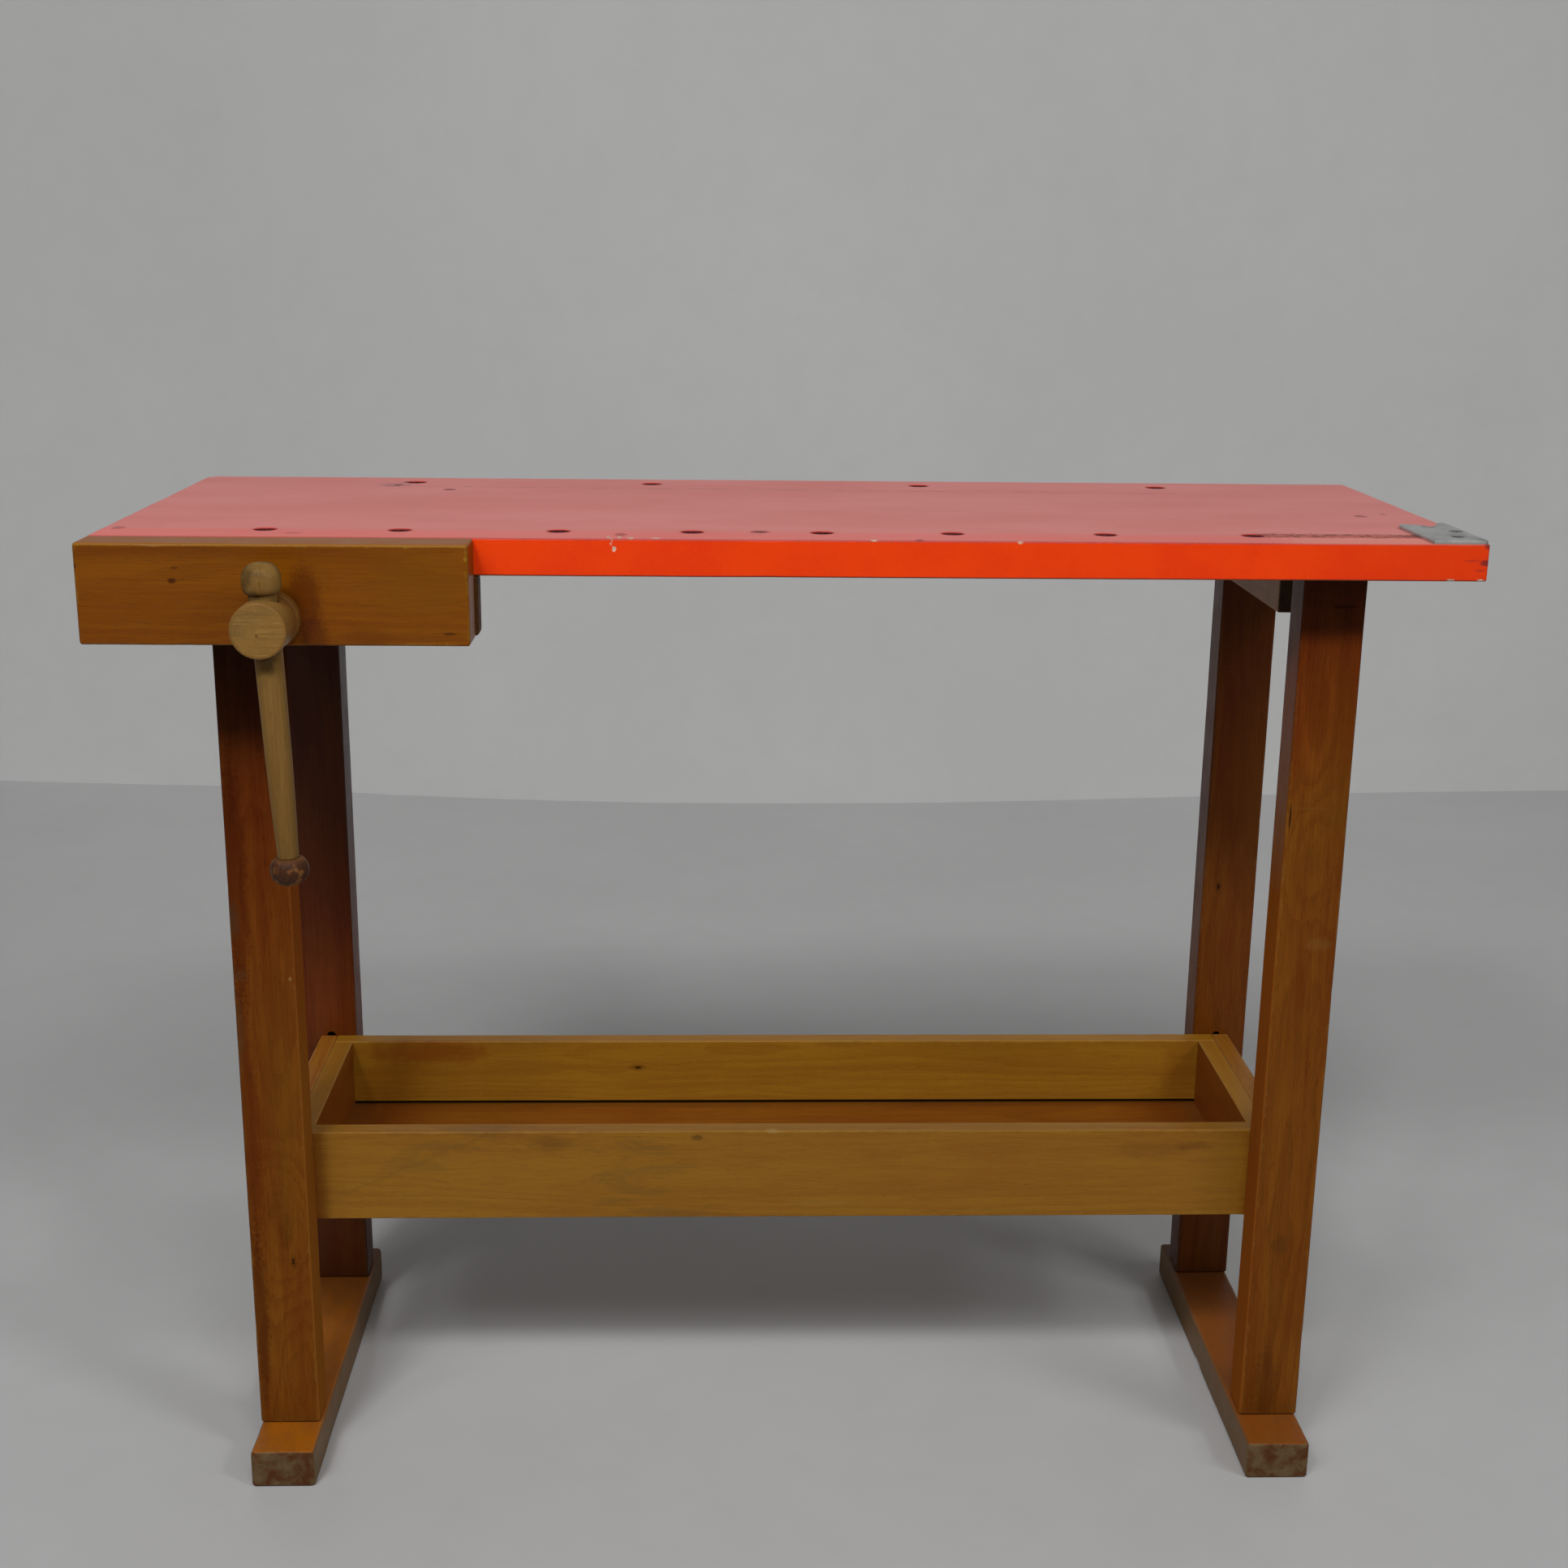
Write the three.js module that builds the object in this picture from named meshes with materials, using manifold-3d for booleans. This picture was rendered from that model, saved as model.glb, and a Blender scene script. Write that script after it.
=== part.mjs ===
// Small wooden workbench with a front vise, two foot-and-leg trestles and a shallow shelf tray.
// Millimetres. +X runs along the bench to the right, +Y from the front edge to the back, +Z up,
// and the floor is z = 0. Dimensions in y are measured from the worktop's front edge;
// the helpers that place geometry shift them by Y_MIDDLE.
import * as THREE from "three";
import { mergeVertices } from "three/addons/utils/BufferGeometryUtils.js";
import Module from "manifold-3d";

const wasm = await Module();
wasm.setup();

// ---------- driving dimensions ----------
const LENGTH = 1000; // worktop
const DEPTH = 360;
const HEIGHT = 772; // floor to the top of the worktop
const TOP_T = 27; // worktop thickness
const UNDER = HEIGHT - TOP_T; // underside of the worktop
const Y_MIDDLE = 138.5; // from the worktop's front edge to the middle of the whole object
const PLAY = 0.5; // clearance in joints
const OVERCUT = 2; // how far a cutting tool runs out past a face

// Trestles
const FOOT_X = 430; // outer face of feet and legs from the middle
const FOOT_W = 51;
const FOOT_H = 32;
const FOOT_Y = [9, 351];
const LEG_W = 48;
const LEG_T = 34;
const LEG_X = FOOT_X - LEG_W; // inner face of the legs
const LEG_Y = { front: 51, rear: 292 }; // front faces of the legs
const TOP_TENON = 14; // how far a leg goes up into the worktop
const FOOT_TENON = 18; // and down into the foot
const TENON_INSET = { x: 9, y: 7 }; // from the leg's faces

// Shelf tray and lower rails
const BOARD_T = 16;
const TRAY_Z = [199, 276];
const TRAY_X = 399; // outer face of the tray ends
const TRAY_INNER_X = TRAY_X - BOARD_T;
const TRAY_FRONT_Y = [LEG_Y.front + LEG_T, LEG_Y.front + LEG_T + BOARD_T];
const TRAY_REAR_Y = [LEG_Y.rear - BOARD_T, LEG_Y.rear];
const FLOOR_Z = [210, 216]; // thin tray floor
const FLOOR_REACH = 5; // how deep the floor sits in its grooves
const RAIL_T = 15;

// Top cleats
const CLEAT_Z = [700, UNDER];
const CLEAT_Y = [118, 286];
const CLEAT_T = 16;

// Vise
const SCREW_X = -365.5; // vise screw axis
const SCREW_Z = 720;
const SCREW_R = 13;
const BORE_R = 13.5;
const SCREW_END = 146;
const HUB_R = 19.5;
const HUB_Y = [-83, -46.5];
const COLLAR_R = 20;
const COLLAR_Y = [-43, -34];
const ROD_X = { left: -451, right: -280 };
const ROD_Y = [-22, 150];
const ROD_Z = 722;
const ROD_R = 9;
const ROD_SEGMENTS = 28;
const JAW_T = 34;
const JAW_RIGHT = -229;
const JAW_BOTTOM = 700.5;
const FIXED_T = 20;
const FIXED_RIGHT = -226.8;
const FIXED_BOTTOM = 701.5;
const JAW_CHAMFER = 2.5;
const KEY = { x: [-356, -346], y: [-22, -14], z: [JAW_BOTTOM, 742] };

// ---------- solids and meshes ----------
const SNAP_STEPS = 256; // grid steps per millimetre

// Rounds coordinates to the grid; axes says which of x, y and z are rounded.
function snapped(geometry, axes = [true, true, true]) {
  const coords = geometry.getAttribute("position").array;
  for (let i = 0; i < coords.length; i++) {
    if (axes[i % 3]) coords[i] = Math.round(coords[i] * SNAP_STEPS) / SNAP_STEPS;
  }
  return geometry;
}

function toSolid(geometry) {
  const bare = geometry.index ? geometry.toNonIndexed() : geometry.clone();
  bare.deleteAttribute("normal");
  bare.deleteAttribute("uv");
  const merged = mergeVertices(bare, 1e-3);
  return new wasm.Manifold(
    new wasm.Mesh({
      numProp: 3,
      vertProperties: new Float32Array(merged.getAttribute("position").array),
      triVerts: new Uint32Array(merged.index.array),
    }),
  );
}

function toGeometry(solid) {
  const mesh = solid.getMesh();
  const stride = mesh.numProp;
  const positions = new Float32Array(mesh.numVert * 3);
  for (let i = 0; i < mesh.numVert; i++) {
    positions.set(mesh.vertProperties.subarray(i * stride, i * stride + 3), i * 3);
  }
  const geometry = new THREE.BufferGeometry();
  geometry.setAttribute("position", new THREE.BufferAttribute(positions, 3));
  geometry.setIndex(new THREE.BufferAttribute(new Uint32Array(mesh.triVerts), 1));
  geometry.computeVertexNormals();
  return geometry;
}

const cut = (solid, ...tools) => tools.reduce((rest, tool) => rest.subtract(tool), solid);
const join = (solid, ...more) => more.reduce((whole, part) => whole.add(part), solid);

const MATERIALS = {
  painted: { color: 0xc44a1c, roughness: 0.5, metalness: 0 },
  oiled: { color: 0x8a5a1c, roughness: 0.5, metalness: 0 },
  stained: { color: 0x5e3416, roughness: 0.55, metalness: 0 },
  shelf: { color: 0x7d5420, roughness: 0.5, metalness: 0 },
  ply: { color: 0x6f3f14, roughness: 0.6, metalness: 0 },
  turned: { color: 0x80613a, roughness: 0.45, metalness: 0 },
  dark_turned: { color: 0x4a2c1c, roughness: 0.4, metalness: 0 },
  plate: { color: 0x8a8988, roughness: 0.5, metalness: 0.9 },
  steel: { color: 0x77736c, roughness: 0.4, metalness: 1 },
};

const group = new THREE.Group();
group.name = "workbench";

function addPiece(name, solid, look) {
  const material = new THREE.MeshStandardMaterial(MATERIALS[look]);
  material.name = look;
  const mesh = new THREE.Mesh(toGeometry(solid), material);
  mesh.name = name;
  group.add(mesh);
}

// ---------- shapes ----------
const middle = ([low, high]) => (low + high) / 2;
const widened = ([low, high], by) => [low - by, high + by];

// Plan outline from [x, y] points.
const outline = (points) =>
  new THREE.Shape(points.map(([x, y]) => new THREE.Vector2(x, y - Y_MIDDLE)));

// Slab with bevelled edges. The points are inset by the bevel from the finished outline.
function bevelledSlab(points, [bottom, top], bevel, bevelSegments) {
  const shape = outline(points);
  shape.closePath();
  const slab = new THREE.ExtrudeGeometry(shape, {
    depth: top - bottom - 2 * bevel,
    bevelEnabled: true,
    bevelSegments,
    bevelSize: bevel,
    bevelThickness: bevel,
  });
  slab.translate(0, 0, bottom + bevel);
  return toSolid(snapped(slab));
}

// Sharp-edged box from its [low, high] spans.
function box(x, y, z) {
  const geometry = new THREE.BoxGeometry(x[1] - x[0], y[1] - y[0], z[1] - z[0]);
  geometry.translate(middle(x), middle(y) - Y_MIDDLE, middle(z));
  return toSolid(snapped(geometry));
}

// Board or block with broken edges and corners.
function block(x, y, z, chamfer) {
  const corner = chamfer * 0.4142;
  const [left, right] = widened(x, -chamfer);
  const [front, back] = widened(y, -chamfer);
  const points = [
    [left + corner, front],
    [right - corner, front],
    [right, front + corner],
    [right, back - corner],
    [right - corner, back],
    [left + corner, back],
    [left, back - corner],
    [left, front + corner],
  ];
  return bevelledSlab(points, z, chamfer, 1);
}

// Round-ended upright section run along the depth; z spans the centres of its round ends.
function roundEndedBar({ x, y, z, radius, curveSegments }) {
  const shape = new THREE.Shape();
  shape.absarc(0, z[1], radius, 0, Math.PI, false);
  shape.absarc(0, z[0], radius, Math.PI, 2 * Math.PI, false);
  shape.closePath();
  const bar = new THREE.ExtrudeGeometry(shape, {
    depth: y[1] - y[0],
    bevelEnabled: false,
    curveSegments,
  });
  bar.rotateX(Math.PI / 2); // the shape's y becomes z, and its depth runs to -y
  bar.translate(x, y[1] - Y_MIDDLE, 0);
  return bar;
}

// Turned piece along three.js y. Profile points are [radius, distance along the axis].
const turned = (profile, segments) =>
  new THREE.LatheGeometry(
    profile.map(([radius, distance]) => new THREE.Vector2(radius, distance)),
    segments,
  );

const cylinderProfile = (radius, from, to) => [[0, from], [radius, from], [radius, to], [0, to]];

// The same profile with distances counted from its first point.
const fromStart = (profile) =>
  profile.map(([radius, distance]) => [radius, distance - profile[0][1]]);

const LATHE_TURN = 0.05; // turn about the piece's own axis, radians

// Turned piece lying along the bench's depth. Profile points are [radius, y].
function turnedAlongDepth(profile, x, z, segments) {
  const geometry = turned(fromStart(profile), segments);
  geometry.rotateY(LATHE_TURN);
  geometry.translate(x, profile[0][1] - Y_MIDDLE, z);
  return toSolid(geometry);
}

// Geometry with its own y axis pointed along a direction from a starting point.
function aimed(geometry, start, direction) {
  const turn = new THREE.Quaternion().setFromUnitVectors(
    new THREE.Vector3(0, 1, 0),
    new THREE.Vector3(...direction).normalize(),
  );
  geometry.applyQuaternion(turn);
  geometry.translate(start[0], start[1] - Y_MIDDLE, start[2]);
  return toSolid(geometry);
}

// ---------- left and right ----------
const SIDES = [-1, 1];
const sideName = (side) => (side < 0 ? "left" : "right");

// Span in x between two distances from the middle, on one side of the bench.
const sideSpan = (side, inner, outer) => (side < 0 ? [-outer, -inner] : [inner, outer]);

// ---------- wood screws ----------
const HEAD_R = 3.75;
const SHANK_R = 2;
const SCREW_SEGMENTS = 20;
const SCREW_SLOT = { length: 9, height: 1.6, width: 0.9 }; // half its height is in the head
const HOLE_LEAD = 1; // a hole starts this far outside the screw's head
const HOLE_HEAD_R = HEAD_R + 0.4;
const HOLE_SHANK_R = SHANK_R + 0.35;

const PLATE_T = 2.5;

const plateScrews = [
  { name: "plate_screw_a", at: [483, 22] },
  { name: "plate_screw_b", at: [492, 50] },
].map(({ name, at }) => ({
  name,
  at: [...at, HEIGHT + PLATE_T],
  direction: [0, 0, -1],
  length: 22,
}));

const cleatScrews = (side) =>
  Object.entries({ front: 142, rear: 252 }).map(([place, y]) => ({
    name: `${sideName(side)}_cleat_screw_${place}`,
    at: [side * 391, y, CLEAT_Z[0]],
    direction: [0, 0, 1],
    length: 57,
  }));

const jawScrews = Object.entries({ outer: -484, middle: -323, inner: -245 }).map(
  ([place, x]) => ({
    name: `fixed_jaw_screw_${place}`,
    at: [x, FIXED_T / 2, FIXED_BOTTOM],
    direction: [0, 0, 1],
    length: 56,
  }),
);

const trayScrews = (side) =>
  Object.entries({ front: 128, rear: 249 }).map(([place, y]) => ({
    name: `${sideName(side)}_tray_screw_${place}`,
    at: [side * (TRAY_X + RAIL_T), y, 240],
    direction: [-side, 0, 0],
    length: 27,
  }));

// Countersunk screw with a slotted head.
function woodScrew({ at, direction, length }) {
  const profile = [
    [0, 0],
    [HEAD_R, 0],
    [HEAD_R, 0.4],
    [SHANK_R, 2.4],
    [SHANK_R, length - 4],
    [0.3, length],
    [0, length],
  ];
  const slot = new THREE.BoxGeometry(SCREW_SLOT.length, SCREW_SLOT.height, SCREW_SLOT.width);
  return cut(
    aimed(turned(profile, SCREW_SEGMENTS), at, direction),
    aimed(slot, at, direction),
  );
}

function screwHole({ at, direction, length }) {
  const profile = [
    [0, 0],
    [HOLE_HEAD_R, 0],
    [HOLE_HEAD_R, 1.8],
    [HOLE_SHANK_R, 4],
    [HOLE_SHANK_R, length + 2],
    [0, length + 2],
  ];
  const start = at.map((v, i) => v - direction[i] * HOLE_LEAD);
  return aimed(turned(profile, SCREW_SEGMENTS), start, direction);
}

// ---------- trestles ----------
const RAIL_SLOT = { z: [207, 272], depth: 20, overrun: 3 }; // z of the round ends' centres
const TONGUE = { drop: 4, reach: 19 }; // centres inside the slot's, reach into the legs

// Leg tenon, or the tool that cuts its socket.
const tenon = (side, legY, z) =>
  box(
    sideSpan(side, LEG_X + TENON_INSET.x, FOOT_X - TENON_INSET.x),
    [legY + TENON_INSET.y, legY + LEG_T - TENON_INSET.y],
    z,
  );

const railSpan = (side) => sideSpan(side, TRAY_X, TRAY_X + RAIL_T);

function foot(side) {
  const socketZ = [FOOT_H - FOOT_TENON - PLAY, FOOT_H + OVERCUT];
  return cut(
    block(sideSpan(side, FOOT_X - FOOT_W, FOOT_X), FOOT_Y, [0, FOOT_H], 2),
    ...Object.values(LEG_Y).map((y) => tenon(side, y, socketZ)),
  );
}

// Leg with a tenon at each end and a round-ended slot for the lower rail.
function leg(side, place) {
  const y = LEG_Y[place];
  const { z, depth, overrun } = RAIL_SLOT;
  const slotY =
    place === "front" ? [y + LEG_T - depth, y + LEG_T + overrun] : [y - overrun, y + depth];
  const slot = roundEndedBar({
    x: middle(railSpan(side)),
    y: slotY,
    z,
    radius: RAIL_T / 2 + PLAY,
    curveSegments: 10,
  });
  const overlap = 4; // the tenons start this far inside the leg
  const body = join(
    block(sideSpan(side, LEG_X, FOOT_X), [y, y + LEG_T], [FOOT_H, UNDER], 1.5),
    tenon(side, y, [UNDER - overlap, UNDER + TOP_TENON]),
    tenon(side, y, [FOOT_H - FOOT_TENON, FOOT_H + overlap]),
  );
  return cut(body, toSolid(slot));
}

// Full height between the legs, with round-edged tongues that go into them.
function lowerRail(side) {
  const x = railSpan(side);
  const y = [LEG_Y.front + LEG_T, LEG_Y.rear];
  const tongue = roundEndedBar({
    x: middle(x),
    y: widened(y, TONGUE.reach),
    z: widened(RAIL_SLOT.z, -TONGUE.drop),
    radius: RAIL_T / 2,
    curveSegments: 8,
  });
  return cut(
    join(block(x, y, TRAY_Z, 1), toSolid(snapped(tongue, [false, true, false]))),
    ...trayScrews(side).map(screwHole),
  );
}

const topCleat = (side) =>
  cut(
    block(sideSpan(side, LEG_X, LEG_X + CLEAT_T), CLEAT_Y, CLEAT_Z, 1.5),
    ...cleatScrews(side).map(screwHole),
  );

// ---------- worktop ----------
const PEG_HOLE = { radius: 8, depth: 15 };
const PEG_ROWS = [
  { y: 38, x: [-383, -286, -171.5, -74.5, 20, 115.5, 228, 337] },
  { y: 327, x: [-315, -113, 118, 325] },
];
const GOUGE = { x: 399.5, y: 38.6, rise: 2.2, radius: 4.4, length: 123 };

// Blind hole with a flared mouth.
function pegHole(x, y) {
  const { radius, depth } = PEG_HOLE;
  const profile = [
    [0, 0],
    [radius, 0],
    [radius, depth - 0.8],
    [radius + 2.4, depth + 1.6],
    [0, depth + 1.6],
  ];
  return aimed(turned(profile, 28), [x, y, HEIGHT - depth], [0, 0, 1]);
}

// Worn groove running from the last front hole towards the corner plate.
function gouge() {
  const tool = new THREE.CylinderGeometry(GOUGE.radius, GOUGE.radius, GOUGE.length, 14);
  tool.rotateZ(Math.PI / 2);
  tool.translate(GOUGE.x, GOUGE.y - Y_MIDDLE, HEIGHT + GOUGE.rise);
  return toSolid(tool);
}

function worktop() {
  const bevel = 1.5;
  const right = LENGTH / 2 - bevel;
  const left = -right;
  const front = bevel;
  const back = DEPTH - bevel;
  // Each corner is cut off by its own amount, the rear left one most.
  const points = [
    [left + 1, front],
    [right - 1.5, front],
    [right, front + 1.5],
    [right, back - 2],
    [right - 2, back],
    [left + 7, back],
    [left, back - 6],
    [left, front + 1],
  ];
  const socketZ = [UNDER - OVERCUT, UNDER + TOP_TENON + PLAY];
  const screws = [...plateScrews, ...SIDES.flatMap(cleatScrews), ...jawScrews];
  return cut(
    bevelledSlab(points, [UNDER, HEIGHT], bevel, 2),
    ...PEG_ROWS.flatMap((row) => row.x.map((x) => pegHole(x, row.y))),
    gouge(),
    ...SIDES.flatMap((side) => Object.values(LEG_Y).map((y) => tenon(side, y, socketZ))),
    ...screws.map(screwHole),
  );
}

// ---------- steel corner plate ----------
// Outline as [x, y], anticlockwise from the front left corner.
const PLATE_OUTLINE = [
  [459, 1], [496, 1], [498.3, 2.2], [499, 4.5], [499, 92], [497.5, 96.5], [493.5, 95],
  [489.5, 87], [484, 76.5], [479.5, 74.5], [478.5, 80.5], [471, 85.5], [464, 88.5], [459, 81],
];

// Flat underneath, with a broken edge on top.
function cornerPlate() {
  const bevel = 0.4;
  const plate = new THREE.ExtrudeGeometry(outline(PLATE_OUTLINE), {
    depth: PLATE_T - bevel,
    bevelEnabled: true,
    bevelSegments: 1,
    bevelSize: bevel,
    bevelThickness: bevel,
    bevelOffset: -bevel,
  });
  plate.translate(0, 0, HEIGHT);
  const lowerBevel = box([440, 520], [-20, 120], [HEIGHT - 5, HEIGHT]);
  return cut(toSolid(snapped(plate)), lowerBevel, ...plateScrews.map(screwHole));
}

// ---------- shelf tray between the trestles ----------
const FLOOR_X = widened([-TRAY_INNER_X, TRAY_INNER_X], FLOOR_REACH);
const FLOOR_Y = widened([TRAY_FRONT_Y[1], TRAY_REAR_Y[0]], FLOOR_REACH);

// Tray board grooved for the floor.
const trayBoard = (x, y) =>
  cut(block(x, y, TRAY_Z, 1), box(widened(FLOOR_X, PLAY), widened(FLOOR_Y, PLAY), FLOOR_Z));

const trayEnd = (side) =>
  cut(
    trayBoard(sideSpan(side, TRAY_INNER_X, TRAY_X), [TRAY_FRONT_Y[1], TRAY_REAR_Y[0]]),
    ...trayScrews(side).map(screwHole),
  );

// ---------- vise jaws and rods ----------
const screwBore = (from, to) =>
  turnedAlongDepth(cylinderProfile(BORE_R, from, to), SCREW_X, SCREW_Z, 32);

const rodBores = (from, to, radius) =>
  Object.values(ROD_X).map((x) =>
    turnedAlongDepth(cylinderProfile(radius, from, to), x, ROD_Z, ROD_SEGMENTS),
  );

// The rod holes are blind, open to the rear.
function movingJaw() {
  return cut(
    block([-LENGTH / 2, JAW_RIGHT], [-JAW_T, 0], [JAW_BOTTOM, HEIGHT], JAW_CHAMFER),
    screwBore(-JAW_T - OVERCUT, OVERCUT),
    box(KEY.x, KEY.y, [KEY.z[0] - OVERCUT, KEY.z[1] + PLAY]),
    ...rodBores(ROD_Y[0] - PLAY, OVERCUT, ROD_R + 0.25),
  );
}

function fixedJaw() {
  return cut(
    block([-LENGTH / 2, FIXED_RIGHT], [0, FIXED_T], [FIXED_BOTTOM, UNDER], JAW_CHAMFER),
    screwBore(-OVERCUT, FIXED_T + OVERCUT),
    ...rodBores(-OVERCUT, FIXED_T + OVERCUT, ROD_R + PLAY),
    ...jawScrews.map(screwHole),
  );
}

function thrustCollar() {
  const [front, back] = COLLAR_Y;
  const profile = [
    [0, front],
    [COLLAR_R - 1.4, front],
    [COLLAR_R, front + 1.4],
    [COLLAR_R, back],
    [0, back],
  ];
  return cut(
    turnedAlongDepth(profile, SCREW_X, SCREW_Z, 40),
    screwBore(front - OVERCUT, back + OVERCUT),
  );
}

function guideRod(x) {
  const [front, back] = ROD_Y;
  const profile = [
    [0, front],
    [ROD_R, front],
    [ROD_R, back - 2],
    [ROD_R - 2, back],
    [0, back],
  ];
  return turnedAlongDepth(profile, x, ROD_Z, ROD_SEGMENTS);
}

// ---------- vise screw and handle ----------
// The handle crosses the hub a little behind its middle and a hair to the right of its axis.
const HANDLE_X = SCREW_X + 1;
const HANDLE_Y = -60.5;
const HANDLE_LEAN = 0.041; // run to the left per unit of height
const HANDLE_DIRECTION = [-HANDLE_LEAN, 0, 1].map((v) => v / Math.hypot(HANDLE_LEAN, 0, 1));

// Turned piece on the handle's axis. Profile points are [radius, distance up from the crossing].
function turnedOnHandle(profile) {
  const [x, , z] = HANDLE_DIRECTION.map((v) => v * profile[0][1]);
  const start = [HANDLE_X + x, HANDLE_Y, SCREW_Z + z];
  return aimed(turned(fromStart(profile), 32), start, HANDLE_DIRECTION);
}

// Hub, neck and shaft turned from one piece, with a ring groove for the key.
function viseScrew() {
  const [hubFront, hubBack] = HUB_Y;
  const neckR = 16;
  const grooveR = 9;
  const [grooveFront, grooveBack] = widened(KEY.y, PLAY);
  const profile = [
    [0, hubFront],
    [HUB_R - 1.2, hubFront],
    [HUB_R - 0.3, hubFront + 0.5],
    [HUB_R, hubFront + 1.6],
    [HUB_R, hubBack - 1.2],
    [HUB_R - 1.2, hubBack],
    [neckR, hubBack],
    [neckR, COLLAR_Y[0]],
    [SCREW_R, COLLAR_Y[0]],
    [SCREW_R, grooveFront],
    [grooveR, grooveFront],
    [grooveR, grooveBack],
    [SCREW_R, grooveBack],
    [SCREW_R, SCREW_END - 3],
    [SCREW_R - 3, SCREW_END],
    [0, SCREW_END],
  ];
  return cut(
    turnedAlongDepth(profile, SCREW_X, SCREW_Z, 40),
    turnedOnHandle(cylinderProfile(10.5, -30, 30)),
  );
}

// Bar with the upper knob turned on it, tapering downwards to a short spigot.
const HANDLE_PROFILE = [
  [0, -181], [6, -181], [6, -165.5], [7.5, -165.5], [7.7, -157], [8.3, -138], [8.9, -117],
  [9.3, -80], [9.8, -27], [9.9, 21.6], [10.8, 22], [12.4, 24.2], [13.3, 27.4], [13.4, 31],
  [12.4, 35], [10.2, 38.8], [7, 41.6], [3.6, 43.2], [0, 43.8],
];

// Lower knob, hollow for the spigot.
const KNOB_PROFILE = [
  [0, -186], [5.5, -185.6], [9.5, -183.6], [12.4, -180.2], [13.8, -175.5], [13.5, -170.8],
  [11.6, -167.2], [9, -165.8], [6.4, -165.8], [6.4, -181.5], [0, -181.5],
];

// ---------- assembly ----------
addPiece("worktop", worktop(), "painted");
addPiece("corner_plate", cornerPlate(), "plate");

for (const side of SIDES) {
  const name = sideName(side);
  addPiece(`${name}_foot`, foot(side), "stained");
  for (const place of Object.keys(LEG_Y)) {
    addPiece(`${name}_${place}_leg`, leg(side, place), "stained");
  }
  addPiece(`${name}_lower_rail`, lowerRail(side), "stained");
  addPiece(`${name}_top_cleat`, topCleat(side), "stained");
}

addPiece("tray_front", trayBoard([-TRAY_X, TRAY_X], TRAY_FRONT_Y), "shelf");
addPiece("tray_rear", trayBoard([-TRAY_X, TRAY_X], TRAY_REAR_Y), "shelf");
for (const side of SIDES) addPiece(`tray_${sideName(side)}_end`, trayEnd(side), "shelf");
addPiece("tray_floor", box(FLOOR_X, FLOOR_Y, FLOOR_Z), "ply");

addPiece("moving_jaw", movingJaw(), "oiled");
addPiece("fixed_jaw", fixedJaw(), "oiled");
addPiece("thrust_collar", thrustCollar(), "turned");
addPiece("vise_screw", viseScrew(), "turned");
addPiece("vise_handle", turnedOnHandle(HANDLE_PROFILE), "turned");
addPiece("handle_knob", turnedOnHandle(KNOB_PROFILE), "dark_turned");
addPiece("garter_key", box(KEY.x, KEY.y, KEY.z), "dark_turned");
for (const [name, x] of Object.entries(ROD_X)) {
  addPiece(`guide_rod_${name}`, guideRod(x), "turned");
}

const allScrews = [
  ...plateScrews,
  ...SIDES.flatMap(cleatScrews),
  ...jawScrews,
  ...SIDES.flatMap(trayScrews),
];
for (const screw of allScrews) addPiece(screw.name, woodScrew(screw), "steel");

export default group;
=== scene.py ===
import math
import random

import bmesh
import bpy
import numpy as np
from mathutils import Matrix, Vector, noise


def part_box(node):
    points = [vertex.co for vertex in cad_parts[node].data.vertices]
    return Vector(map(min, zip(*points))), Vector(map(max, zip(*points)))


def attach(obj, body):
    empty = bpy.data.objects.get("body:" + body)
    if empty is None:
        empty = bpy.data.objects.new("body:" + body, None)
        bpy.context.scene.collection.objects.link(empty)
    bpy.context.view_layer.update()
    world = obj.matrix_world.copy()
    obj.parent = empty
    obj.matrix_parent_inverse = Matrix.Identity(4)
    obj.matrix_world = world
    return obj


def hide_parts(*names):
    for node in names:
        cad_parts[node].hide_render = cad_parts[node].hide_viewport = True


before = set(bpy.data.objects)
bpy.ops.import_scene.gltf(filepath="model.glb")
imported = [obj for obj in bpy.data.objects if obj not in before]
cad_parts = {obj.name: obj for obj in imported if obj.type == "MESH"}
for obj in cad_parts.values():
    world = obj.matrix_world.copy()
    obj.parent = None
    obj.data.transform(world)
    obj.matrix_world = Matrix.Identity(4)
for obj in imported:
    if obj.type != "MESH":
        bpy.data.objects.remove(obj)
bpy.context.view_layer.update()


sc = bpy.context.scene
COL = sc.collection
Y0 = 0.1385  # the worktop's front edge lies this far in front of the origin


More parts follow.
